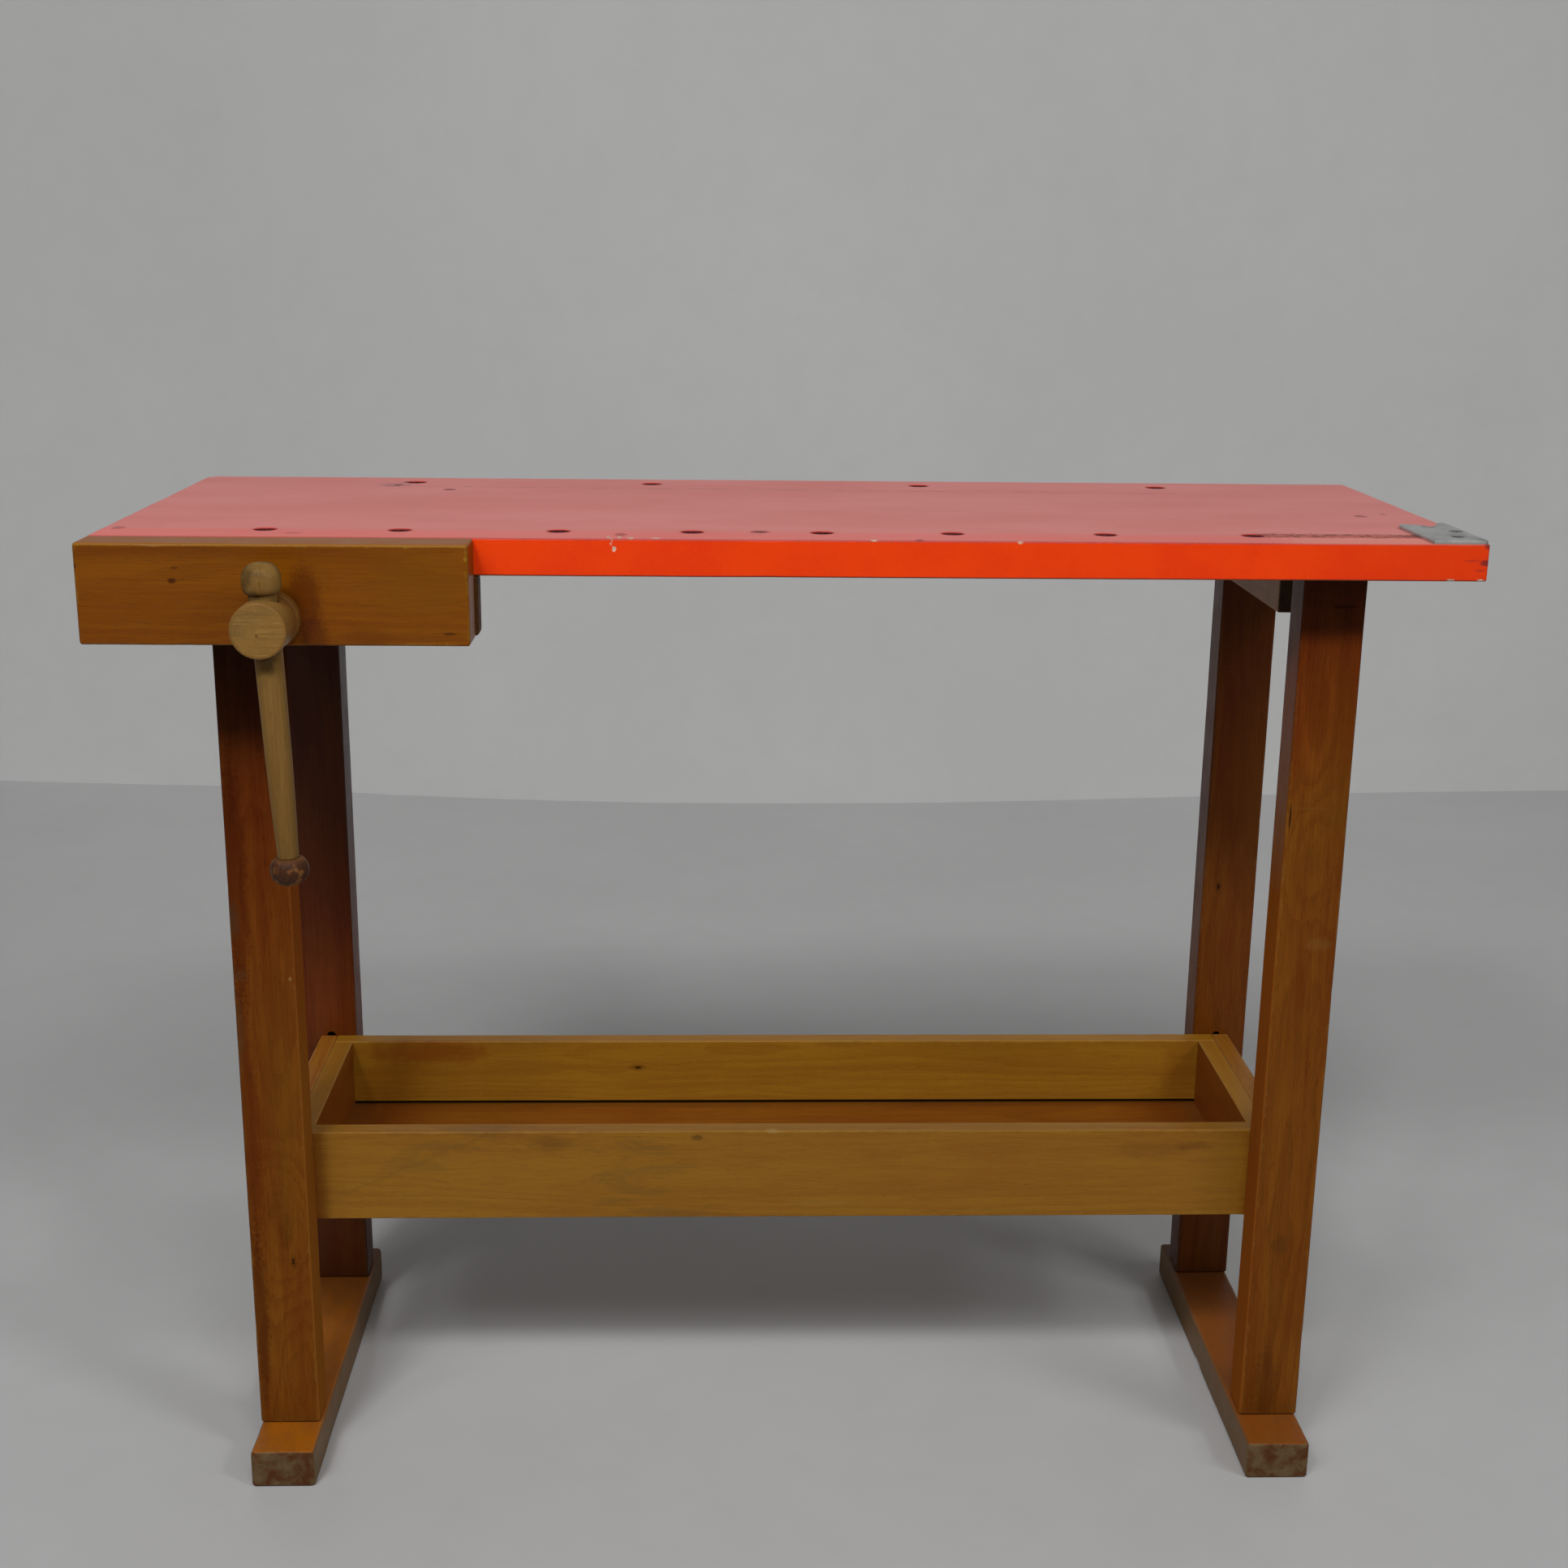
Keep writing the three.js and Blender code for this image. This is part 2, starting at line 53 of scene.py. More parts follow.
# ------------------------------------------------------------------ node helpers
class T:
    """A small shorthand for building shader trees."""

    def __init__(self, tree):
        self.t = tree
        self.n = tree.nodes
        self.l = tree.links

    def put(self, sock, v):
        if v is None:
            return
        if isinstance(v, bpy.types.NodeSocket):
            self.l.new(v, sock)
        elif sock.type == "RGBA":
            sock.default_value = tuple(v) if len(v) == 4 else (*v, 1.0)
        elif sock.type == "VECTOR":
            sock.default_value = tuple(v) if not isinstance(v, (int, float)) else (v, v, v)
        else:
            sock.default_value = v

    def m(self, op, a, b=None, c=None, clamp=False):
        n = self.n.new("ShaderNodeMath")
        n.operation = op
        n.use_clamp = clamp
        for s, v in zip(n.inputs, (a, b, c)):
            self.put(s, v)
        return n.outputs[0]

    def v(self, op, a, b=None, scale=None):
        n = self.n.new("ShaderNodeVectorMath")
        n.operation = op
        self.put(n.inputs[0], a)
        if b is not None:
            self.put(n.inputs[1], b)
        if scale is not None:
            self.put(n.inputs["Scale"], scale)
        return n.outputs["Value"] if op in ("LENGTH", "DOT_PRODUCT", "DISTANCE") else n.outputs[0]

    def sep(self, v):
        n = self.n.new("ShaderNodeSeparateXYZ")
        self.put(n.inputs[0], v)
        return n.outputs[0], n.outputs[1], n.outputs[2]

    def com(self, x, y, z):
        n = self.n.new("ShaderNodeCombineXYZ")
        for s, v in zip(n.inputs, (x, y, z)):
            self.put(s, v)
        return n.outputs[0]

    def noise(self, vec, scale=1.0, detail=2.0, rough=0.5, dist=0.0, color=False):
        n = self.n.new("ShaderNodeTexNoise")
        n.noise_dimensions = "3D"
        self.put(n.inputs["Vector"], vec)
        self.put(n.inputs["Scale"], scale)
        self.put(n.inputs["Detail"], detail)
        self.put(n.inputs["Roughness"], rough)
        self.put(n.inputs["Distortion"], dist)
        return n.outputs["Color" if color else "Fac"]

    def voronoi(self, vec, scale=1.0, feature="F1", rand=1.0):
        n = self.n.new("ShaderNodeTexVoronoi")
        n.feature = feature
        self.put(n.inputs["Vector"], vec)
        self.put(n.inputs["Scale"], scale)
        self.put(n.inputs["Randomness"], rand)
        return n.outputs["Distance"]

    def step(self, x, a, b, lo=0.0, hi=1.0):
        """Smoothly from lo at a to hi at b."""
        n = self.n.new("ShaderNodeMapRange")
        n.interpolation_type = "SMOOTHSTEP"
        n.clamp = True
        if not isinstance(a, bpy.types.NodeSocket) and not isinstance(b, bpy.types.NodeSocket) and a > b:
            a, b, lo, hi = b, a, hi, lo
        for s, v in zip((n.inputs[0], n.inputs[1], n.inputs[2], n.inputs[3], n.inputs[4]), (x, a, b, lo, hi)):
            self.put(s, v)
        return n.outputs[0]

    def mix(self, f, a, b, mode="MIX"):
        n = self.n.new("ShaderNodeMix")
        n.data_type = "RGBA"
        n.blend_type = mode
        n.clamp_factor = True
        self.put(n.inputs[0], f)
        self.put(n.inputs[6], a)
        self.put(n.inputs[7], b)
        return n.outputs[2]

    def ramp(self, f, stops, interp="LINEAR"):
        n = self.n.new("ShaderNodeValToRGB")
        r = n.color_ramp
        r.interpolation = interp
        while len(r.elements) > 1:
            r.elements.remove(r.elements[-1])
        for i, (p, c) in enumerate(stops):
            e = r.elements[0] if i == 0 else r.elements.new(p)
            e.position = p
            e.color = (*c, 1.0) if len(c) == 3 else c
        self.put(n.inputs[0], f)
        return n.outputs[0]

    def bump(self, h, strength=0.3, distance=0.001, normal=None):
        n = self.n.new("ShaderNodeBump")
        self.put(n.inputs["Height"], h)
        self.put(n.inputs["Strength"], strength)
        self.put(n.inputs["Distance"], distance)
        if normal is not None:
            self.put(n.inputs["Normal"], normal)
        return n.outputs[0]


def srgb(r, g, b):
    f = lambda c: (c / 255 / 12.92) if c / 255 <= 0.04045 else ((c / 255 + 0.055) / 1.055) ** 2.4
    return (f(r), f(g), f(b))


def new_mat(name):
    m = bpy.data.materials.new(name)
    m.use_nodes = True
    t = T(m.node_tree)
    for n in list(t.n):
        t.n.remove(n)
    out = t.n.new("ShaderNodeOutputMaterial")
    p = t.n.new("ShaderNodeBsdfPrincipled")
    t.l.new(p.outputs[0], out.inputs[0])
    return m, t, p


def coords(t):
    n = t.n.new("ShaderNodeTexCoord")
    return t.v("SCALE", n.outputs["Object"], scale=1000.0)  # millimetres in the row frame


def edge_distance(t, P, lo, hi):
    """Millimetres to the nearest arris of a box: the middle one of the three distances to its faces."""
    c = [(a + b) / 2 for a, b in zip(lo, hi)]
    h = [(b - a) / 2 for a, b in zip(lo, hi)]
    d = t.v("SUBTRACT", tuple(h), t.v("ABSOLUTE", t.v("SUBTRACT", P, tuple(c))))
    x, y, z = t.sep(d)
    mn, mx = t.m("MINIMUM", x, y), t.m("MAXIMUM", x, y)
    return t.m("MINIMUM", mx, t.m("MAXIMUM", mn, z))


def blob(t, P, at, r, soft=0.35, wob=0.35, wscale=0.5):
    """1 inside a ragged ellipsoid at a place (row frame, mm), 0 outside."""
    d = t.v("MULTIPLY", t.v("SUBTRACT", P, tuple(at)), tuple(1.0 / v for v in r))
    l = t.v("LENGTH", d)
    if wob:
        l = t.m("ADD", l, t.m("MULTIPLY", t.m("SUBTRACT", t.noise(P, wscale, 3, 0.6), 0.5), wob * 2))
    return t.step(l, 1.0 + soft, 1.0 - soft)


def tmax(t, items):
    r = items[0]
    for i in items[1:]:
        r = t.m("MAXIMUM", r, i)
    return r


# ------------------------------------------------------------------ materials
PALETTES = {
    # light, dark (latewood), red (blotch), scuffed edge, grime
    "leg": (srgb(150, 92, 36), srgb(96, 48, 16), srgb(120, 52, 20), srgb(168, 128, 84), srgb(92, 84, 72)),
    "foot": (srgb(148, 92, 38), srgb(96, 52, 20), srgb(116, 58, 26), srgb(150, 126, 96), srgb(104, 96, 84)),
    "jaw": (srgb(164, 98, 26), srgb(122, 64, 14), srgb(142, 72, 18), srgb(186, 138, 92), srgb(90, 70, 48)),
    "shelf": (srgb(172, 122, 48), srgb(134, 86, 28), srgb(148, 88, 34), srgb(190, 150, 100), srgb(104, 88, 64)),
    "ply": (srgb(150, 86, 30), srgb(112, 56, 18), srgb(132, 62, 22), srgb(160, 110, 60), srgb(90, 70, 48)),
    "turned": (srgb(186, 148, 92), srgb(146, 108, 60), srgb(160, 120, 72), srgb(200, 170, 122), srgb(96, 78, 56)),
    "dark": (srgb(120, 88, 62), srgb(84, 56, 40), srgb(96, 60, 46), srgb(150, 124, 98), srgb(70, 54, 46)),
    "under": (srgb(150, 104, 56), srgb(112, 72, 36), srgb(126, 78, 40), srgb(160, 124, 84), srgb(84, 70, 54)),
}


# colour gain per timber or per piece, and how strongly its varnish shines
GAIN = {
    "jaw": (0.57, 0.51, 0.06),
    "turned": (0.53, 0.47, 0.33),
    "vise_handle": (0.46, 0.42, 0.29),
    "dark": (0.66, 0.50, 0.34),
    "thrust_collar": (0.50, 0.36, 0.18),
    "leg": (0.62, 0.58, 0.28),
    "shelf": (0.78, 0.76, 0.36),
    "tray_front": (0.66, 0.62, 0.30),
    "ply": (0.83, 0.88, 0.40),
    "foot": (0.86, 0.74, 0.46),
    "left_lower_rail": (0.80, 0.66, 0.42),
    "right_lower_rail": (0.74, 0.62, 0.46),
}
SPEC = {"leg": 0.17, "left_front_leg": 0.05, "right_front_leg": 0.07, "right_rear_leg": 0.11, "jaw": 0.20, "shelf": 0.18, "ply": 0.22, "turned": 0.12, "dark": 0.12, "foot": 0.16}


def wood(
    name,
    axis,
    lo,
    hi,
    palette,
    seed,
    heart=(12.0, -70.0),
    spacing=3.4,
    contrast=0.55,
    blotch=0.55,
    knots=(),
    wear=0.7,
    floor_grime=0.0,
    end_grime=0.0,
    rough=0.36,
    film=0.0,
    extra=None,
    tone=1.0,
    streak=0.5,
):
    """Varnished timber: rings around a heart off the piece, fibre, pores, stain blotches, knots, scuffed arrises."""
    light, dark, red, scuff, grime = PALETTES[palette]
    m, t, p = new_mat(name)
    rnd = random.Random(seed)
    P = coords(t)
    c = [(a + b) / 2 for a, b in zip(lo, hi)]
    x, y, z = t.sep(t.v("SUBTRACT", P, tuple(c)))
    q = {"x": (y, z, x), "y": (x, z, y), "z": (x, y, z)}[axis]
    q = t.com(*q)
    off = (rnd.uniform(-400, 400), rnd.uniform(-400, 400), rnd.uniform(-900, 900))
    qo = t.v("ADD", q, off)
    # slow wander of the heart line, and a finer ripple of each ring
    warp = t.m("MULTIPLY", t.m("SUBTRACT", t.noise(t.v("MULTIPLY", qo, (1 / 55, 1 / 55, 1 / 330)), 1.0, 2, 0.5), 0.5), 26.0)
    ripple = t.m("MULTIPLY", t.m("SUBTRACT", t.noise(t.v("MULTIPLY", qo, (1 / 14, 1 / 14, 1 / 70)), 1.0, 3, 0.55), 0.5), 3.2)
    qx, qy, qz = t.sep(q)
    dx = t.m("SUBTRACT", qx, heart[0])
    dy = t.m("SUBTRACT", qy, heart[1])
    d = t.m("SQRT", t.m("ADD", t.m("MULTIPLY", dx, dx), t.m("MULTIPLY", dy, dy)))
    d = t.m("ADD", t.m("ADD", d, warp), ripple)
    knot_mask, knot_ring = None, None
    for (kp, kr, kd) in knots:
        rel = t.v("SUBTRACT", P, tuple(kp))
        rx, ry, rz = t.sep(rel)
        st = {"x": (rx, ry, rz), "y": (ry, rx, rz), "z": (rz, rx, ry)}[axis]
        al = t.m("MULTIPLY", st[0], 0.42)
        dd = t.m("SQRT", t.m("ADD", t.m("MULTIPLY", al, al), t.m("ADD", t.m("MULTIPLY", st[1], st[1]), t.m("MULTIPLY", st[2], st[2]))))
        dd = t.m("ADD", dd, t.m("MULTIPLY", t.m("SUBTRACT", t.noise(P, 0.35, 2, 0.5), 0.5), kr * 0.7))
        swell = t.m("MULTIPLY", t.m("EXPONENT", t.m("MULTIPLY", t.m("POWER", t.m("DIVIDE", dd, kr * 3.2), 2.0), -1.0)), kr * 2.4)
        d = t.m("ADD", d, swell)
        k = t.m("MULTIPLY", t.step(dd, kr * 1.25, kr * 0.55), kd)
        halo = t.m("MULTIPLY", t.step(dd, kr * 3.0, kr * 0.9), kd * 0.35)
        k = t.m("MAXIMUM", k, halo)
        knot_mask = k if knot_mask is None else t.m("MAXIMUM", knot_mask, k)
    vary = t.noise(t.com(t.m("MULTIPLY", d, 0.055), rnd.uniform(0, 50), 0.0), 1.0, 2, 0.6)
    rings = t.m("ADD", t.m("DIVIDE", d, spacing), t.m("MULTIPLY", vary, 3.5))
    f = t.m("FRACT", rings)
    late = t.m("SUBTRACT", t.step(f, 0.25, 0.9), t.step(f, 0.93, 1.0))
    # fibre and pores, drawn out along the grain
    fib = t.noise(t.v("MULTIPLY", qo, (0.9, 0.9, 0.022)), 1.0, 5, 0.65)
    fine = t.noise(t.v("MULTIPLY", qo, (3.1, 3.1, 0.075)), 1.0, 3, 0.6)
    pore = t.step(t.noise(t.v("MULTIPLY", qo, (1.9, 1.9, 0.11)), 1.0, 2, 0.5), 0.63, 0.72)
    broad = t.noise(t.v("MULTIPLY", qo, (1 / 16, 1 / 16, 1 / 210)), 1.0, 3, 0.55, 0.6)
    zone = t.noise(t.v("MULTIPLY", qo, (1 / 60, 1 / 60, 1 / 130)), 1.0, 2, 0.5)
    ringf = t.m("MULTIPLY", late, t.m("MULTIPLY", t.step(vary, 0.25, 0.7, 0.35, 1.0), contrast))
    col = t.mix(ringf, light, dark)
    col = t.mix(t.m("MULTIPLY", t.step(broad, 0.42, 0.68), blotch), col, red)
    col = t.mix(t.m("MULTIPLY", t.step(zone, 0.45, 0.75), blotch * 0.7), col, red)
    col = t.mix(t.m("MULTIPLY", t.step(fib, 0.38, 0.70), streak), col, dark)
    col = t.mix(t.m("MULTIPLY", t.step(fine, 0.35, 0.7), 0.22), col, tuple(v * 1.35 for v in light))
    col = t.mix(t.m("MULTIPLY", pore, 0.45), col, tuple(v * 0.5 for v in dark))
    if knot_mask is not None:
        col = t.mix(knot_mask, col, tuple(v * 0.16 for v in dark))
    # scuffed arrises and small knocks
    e = edge_distance(t, P, lo, hi)
    wn = t.noise(t.v("MULTIPLY", P, (0.09, 0.09, 0.09)), 1.0, 5, 0.65)
    wf = t.noise(t.v("MULTIPLY", P, (0.6, 0.6, 0.6)), 1.0, 3, 0.6)
    worn = t.step(t.m("ADD", e, t.m("MULTIPLY", t.m("SUBTRACT", wn, 0.5), -9.0)), 2.1, 0.1)
    worn = t.m("MULTIPLY", t.m("MULTIPLY", worn, t.step(wf, 0.30, 0.55)), wear)
    col = t.mix(worn, col, scuff)
    nick = t.m("MULTIPLY", t.step(t.noise(t.v("MULTIPLY", P, (0.05, 0.05, 0.05)), 1.0, 6, 0.72), 0.665, 0.70), 0.55 * wear)
    col = t.mix(nick, col, scuff)
    # fine handling scratches
    s1 = t.step(t.noise(t.v("MULTIPLY", t.v("ADD", P, off), (0.035, 1.4, 1.1)), 1.0, 2, 0.5), 0.70, 0.76)
    s2 = t.step(t.noise(t.v("MULTIPLY", t.v("ADD", P, off), (1.3, 0.9, 0.03)), 1.0, 2, 0.5), 0.71, 0.77)
    scratch = t.m("MULTIPLY", t.m("MAXIMUM", s1, s2), 0.22)
    col = t.mix(scratch, col, scuff)
    if film:
        fm = t.m("MULTIPLY", t.step(t.noise(t.v("MULTIPLY", P, (0.02, 0.02, 0.02)), 1.0, 4, 0.6), 0.3, 0.7), film)
        col = t.mix(fm, col, grime)
    if floor_grime:
        gz = t.sep(P)[2]
        gm = t.step(t.m("ADD", gz, t.m("MULTIPLY", t.m("SUBTRACT", wn, 0.5), 70.0)), 62.0, 0.0)
        col = t.mix(t.m("MULTIPLY", gm, floor_grime), col, grime)
    if end_grime:
        # the end grain of the piece: distance to the nearer end along the grain
        half = {"x": (hi[0] - lo[0]) / 2, "y": (hi[1] - lo[1]) / 2, "z": (hi[2] - lo[2]) / 2}[axis]
        ez = t.m("SUBTRACT", half, t.m("ABSOLUTE", qz))
        em = t.step(t.m("ADD", ez, t.m("MULTIPLY", t.m("SUBTRACT", wf, 0.5), 3.0)), 3.2, 0.3)
        ecol = t.mix(t.step(t.noise(P, 0.075, 5, 0.6, 0.4), 0.36, 0.66), grime, tuple(v * 0.62 for v in dark))
        ecol = t.mix(t.m("MULTIPLY", t.step(t.noise(t.v("MULTIPLY", P, (0.5, 0.5, 0.9)), 1.0, 3, 0.6), 0.45, 0.7), 0.35), ecol, tuple(v * 0.5 for v in dark))
        col = t.mix(t.m("MULTIPLY", em, end_grime), col, ecol)
    if extra is not None:
        col = extra(t, P, col, dict(dark=dark, light=light, red=red, scuff=scuff, grime=grime, wn=wn, wf=wf, e=e))
    g = GAIN.get(name, GAIN.get(palette, (1, 1, 1)))
    col = t.mix(1.0, col, tuple(v * tone for v in g), "MULTIPLY")
    t.put(p.inputs["Base Color"], col)
    spec = SPEC.get(name, SPEC.get(palette, 0.28))
    if name in ("left_front_leg", "right_front_leg"):
        # the rubbed inner sides have lost their varnish sheen
        gn = t.n.new("ShaderNodeNewGeometry")
        sx, sy, sz = t.sep(gn.outputs["Normal"])
        inner = t.step(sx, 0.4, 0.8) if name.startswith("left") else t.m("MULTIPLY", t.step(sx, -0.4, -0.8), t.step(t.sep(P)[2], 640.0, 480.0))
        spec = t.m("MULTIPLY", spec, t.m("SUBTRACT", 1.0, inner))
    t.put(p.inputs["Specular IOR Level"], spec)
    ro = t.m("ADD", rough, t.m("MULTIPLY", t.m("SUBTRACT", t.noise(P, 0.045, 4, 0.6), 0.5), 0.22))
    ro = t.m("ADD", ro, t.m("MULTIPLY", t.m("MAXIMUM", worn, nick), 0.28), None, True)
    t.put(p.inputs["Roughness"], ro)
    t.put(p.inputs["IOR"], 1.48)
    h = t.m("ADD", t.m("MULTIPLY", fib, 0.55), t.m("MULTIPLY", late, 0.25))
    h = t.m("SUBTRACT", h, t.m("MULTIPLY", pore, 0.6))
    h = t.m("SUBTRACT", h, t.m("MULTIPLY", t.m("MAXIMUM", nick, scratch), 0.9))
    nrm = t.bump(h, 0.35, 0.00022)
    nrm = t.bump(t.noise(P, 0.03, 3, 0.5), 0.25, 0.0011, nrm)
    t.put(p.inputs["Normal"], nrm)
    return m


TOP_Z = 772.0
HOLES_FRONT = [(-383, 38), (-286, 38), (-171.5, 38), (-74.5, 38), (20, 38), (115.5, 38), (228, 38), (337, 38)]
HOLES_BACK = [(-315, 327), (-113, 327), (118, 327), (325, 327)]
R = lambda x, y, z=TOP_Z: (x, y - 138.5, z)  # bench coordinates (y from the front edge) to the row frame, mm


def paint():
    """Old glossy orange-red paint: dusty and dulled on the top face, its pinkish colour partly a painted reflection of
    the pale wall, bright on the edges, chipped at arrises.
    """
    m, t, p = new_mat("top_paint")
    P = coords(t)
    x, y, z = t.sep(P)
    geo = t.n.new("ShaderNodeNewGeometry")
    nz = t.sep(geo.outputs["Normal"])[2]
    up = t.step(nz, 0.55, 0.92)
    down = t.step(nz, -0.5, -0.9)
    base = srgb(243, 66, 4)
    deep = srgb(234, 55, 4)
    big = t.noise(t.v("MULTIPLY", P, (0.012, 0.012, 0.012)), 1.0, 4, 0.6)
    fine = t.noise(t.v("MULTIPLY", P, (0.5, 0.5, 0.5)), 1.0, 4, 0.6)
    col = t.mix(t.step(big, 0.35, 0.7), base, deep)
    col = t.mix(t.m("MULTIPLY", t.step(fine, 0.45, 0.75), 0.16), col, srgb(250, 88, 20))
    # the top: pinkish, dulled by dust and rubbing, and partly a painted reflection of the pale wall at this low angle
    dust_and_reflection = t.noise(t.v("MULTIPLY", P, (0.006, 0.015, 0.01)), 1.0, 4, 0.55)
    speck = t.noise(t.v("MULTIPLY", P, (0.9, 0.9, 0.9)), 1.0, 3, 0.7)
    top = t.mix(t.step(dust_and_reflection, 0.3, 0.7), srgb(212, 118, 111), srgb(219, 130, 125))
    top = t.mix(t.m("MULTIPLY", t.step(speck, 0.4, 0.8), 0.25), top, srgb(226, 160, 150))
    front_band = t.step(y, R(0, 46)[1], R(0, 30)[1])
    top = t.mix(t.m("MULTIPLY", front_band, 0.45), top, srgb(236, 100, 90))
    rub = t.step(t.noise(t.v("MULTIPLY", P, (0.02, 0.05, 0.03)), 1.0, 6, 0.7), 0.60, 0.74)
    top = t.mix(t.m("MULTIPLY", rub, 0.25), top, srgb(206, 140, 132))
    col = t.mix(up, col, top)
    e = edge_distance(t, P, (-500, -138.5, 745), (500, 221.5, 772))
    wn = t.noise(P, 0.10, 5, 0.65)
    wf = t.noise(P, 0.8, 3, 0.6)
    # darker, dirtier line where the paint is thin on the arris
    thin = t.m("MULTIPLY", t.step(t.m("ADD", e, t.m("MULTIPLY", t.m("SUBTRACT", wn, 0.5), 3.0)), 1.9, 0.5), 0.55)
    col = t.mix(t.m("MULTIPLY", thin, t.step(wf, 0.35, 0.6)), col, srgb(176, 64, 48))
    # worn, darker lines where the top and the underside meet the edge
    front_edge = t.step(y, -136.9, -137.9)
    upper = t.m("MULTIPLY", t.step(t.m("ADD", z, t.m("MULTIPLY", t.m("SUBTRACT", wf, 0.5), 0.8)), 770.6, 771.3), t.step(y, -135.6, -137.0))
    lower = t.m("MULTIPLY", t.step(t.m("ADD", z, t.m("MULTIPLY", t.m("SUBTRACT", wf, 0.5), 1.0)), 746.5, 745.4), front_edge)
    col = t.mix(t.m("MULTIPLY", upper, 0.55), col, srgb(168, 62, 62))
    col = t.mix(t.m("MULTIPLY", lower, t.step(wn, 0.3, 0.6, 0.35, 0.8)), col, srgb(70, 24, 16))
    # the right end of the front edge is a shade duller
    col = t.mix(t.m("MULTIPLY", t.m("MULTIPLY", t.step(x, 330, 480), front_edge), 0.35), col, srgb(206, 50, 14))
    # chips: pale undercoat, some down to grey wood
    ragged = t.step(t.m("ADD", e, t.m("MULTIPLY", t.m("SUBTRACT", t.noise(P, 0.22, 5, 0.7), 0.5), 10.0)), -1.9, -2.6)
    chips = [
        blob(t, P, R(-131.5, 3.0, 769.5), (1.5, 3.0, 3.6), 0.25, 0.6, 0.5),
        blob(t, P, R(-129.5, 0.0, 765.0), (1.3, 3.0, 2.0), 0.25, 0.6, 0.5),
        blob(t, P, R(-126.0, 8, 772), (1.2, 6.0, 1.4), 0.25, 0.6, 0.5),
        blob(t, P, R(-134.0, 9, 772), (0.9, 5.0, 1.4), 0.25, 0.6, 0.5),
        blob(t, P, R(-118.0, 5, 772), (2.2, 4.0, 1.0), 0.3, 0.7, 0.7),
        blob(t, P, R(-100.0, 5, 772), (3.0, 3.0, 0.9), 0.3, 0.8, 0.7),
        blob(t, P, R(55.0, 2, 772), (2.6, 2.5, 0.9), 0.3, 0.8, 0.7),
        blob(t, P, R(160.0, 1.5, 771), (2.2, 2.0, 1.2), 0.3, 0.8, 0.6),
        blob(t, P, R(473.0, 0, 746), (3.0, 2.2, 0.8), 0.3, 0.8, 0.6),
        blob(t, P, R(495.0, 0, 746.0), (2.4, 2.2, 0.9), 0.3, 0.8, 0.6),
        blob(t, P, R(-497.0, 356, 770), (4.0, 5.0, 3.0), 0.3, 0.6, 0.5),
    ]
    chip = t.m("MAXIMUM", tmax(t, chips), ragged)
    bare = t.mix(t.step(wf, 0.4, 0.6), srgb(226, 206, 186), srgb(176, 140, 108))
    # marks on the top: dark bruises, a grey smear, small stains, a faint wandering pencil-like crack
    dark = [
        t.m("MULTIPLY", blob(t, P, R(*at), r, 0.4, 0.6, 0.4), amt)
        for at, r, amt in (
            ((88.0, 4, 771.5), (3.0, 3.0, 2.0), 0.9),
            ((498.5, 1, 770.5), (3.0, 4.0, 2.2), 0.8),
            ((497.5, 0, 758.5), (4.0, 3.0, 2.4), 0.9),
            ((494.0, 0, 753.0), (3.2, 2.0, 1.0), 0.4),
            ((488.0, 0, 760.0), (6.0, 2.0, 0.9), 0.35),
            ((-317.5, 327), (8.5, 6.5, 3), 1.0),
            ((-327.5, 306), (3.6, 5.0, 3), 0.8),
            ((-332.0, 300), (6.0, 2.6, 3), 0.4),
            ((-25.4, 40), (6.5, 6.0, 3), 0.95),
            ((-280.7, 277), (5.0, 5.5, 3), 0.8),
            ((-488.7, 40), (4.5, 7.0, 3), 0.5),
            ((-359.6, 20), (6.0, 5.0, 3), 0.3),
            ((450.6, 148.5), (4.5, 6.0, 3), 0.6),
            ((472.7, 161), (2.5, 5.0, 3), 0.4),
            ((-125.6, 22), (4.0, 7.0, 3), 0.6),
        )
    ]
    darkm = tmax(t, dark)
    smear = t.m("MULTIPLY", blob(t, P, R(-330, 306), (13.0, 11.0, 4), 0.5, 0.9, 0.2), 0.5)
    wander = t.m("MULTIPLY", t.m("SUBTRACT", t.noise(t.com(t.m("MULTIPLY", x, 0.05), 3.0, 0.0), 1.0, 4, 0.6), 0.5), 16.0)
    line_y = t.m("ADD", t.m("ADD", t.m("MULTIPLY", x, -0.02), R(0, 291)[1]), wander)
    line = t.step(t.m("ABSOLUTE", t.m("SUBTRACT", y, line_y)), 2.2, 0.5)
    line = t.m("MULTIPLY", line, t.m("MULTIPLY", t.step(x, -320, -290), t.step(x, 345, 320)))
    line = t.m("MULTIPLY", t.m("MULTIPLY", line, up), t.step(t.noise(P, 0.09, 3, 0.6), 0.35, 0.6))
    # grime gathered around each peg hole and along the gouge
    rims = []
    for hx, hy in HOLES_FRONT + HOLES_BACK:
        cx, cy, _ = R(hx, hy)
        dd = t.v("LENGTH", t.v("SUBTRACT", t.com(x, y, 0.0), (cx, cy, 0.0)))
        rims.append(t.m("MAXIMUM", t.m("MULTIPLY", t.step(dd, 11.5, 8.4), 0.45), t.step(dd, 8.9, 8.3)))
    inside = t.step(z, TOP_Z - 0.25, TOP_Z - 0.9)
    # only in the holes: well in from the outer faces and above the underside
    away = t.m("MINIMUM", t.m("SUBTRACT", 500.0, t.m("ABSOLUTE", x)), t.m("MINIMUM", t.m("ADD", y, 138.5), t.m("SUBTRACT", 221.5, y)))
    inside = t.m("MULTIPLY", inside, t.m("MULTIPLY", t.step(away, 6.0, 8.0), t.step(z, 746.0, 750.0)))
    rim = t.m("MULTIPLY", tmax(t, rims), t.step(wn, 0.2, 0.6, 0.35, 1.0))
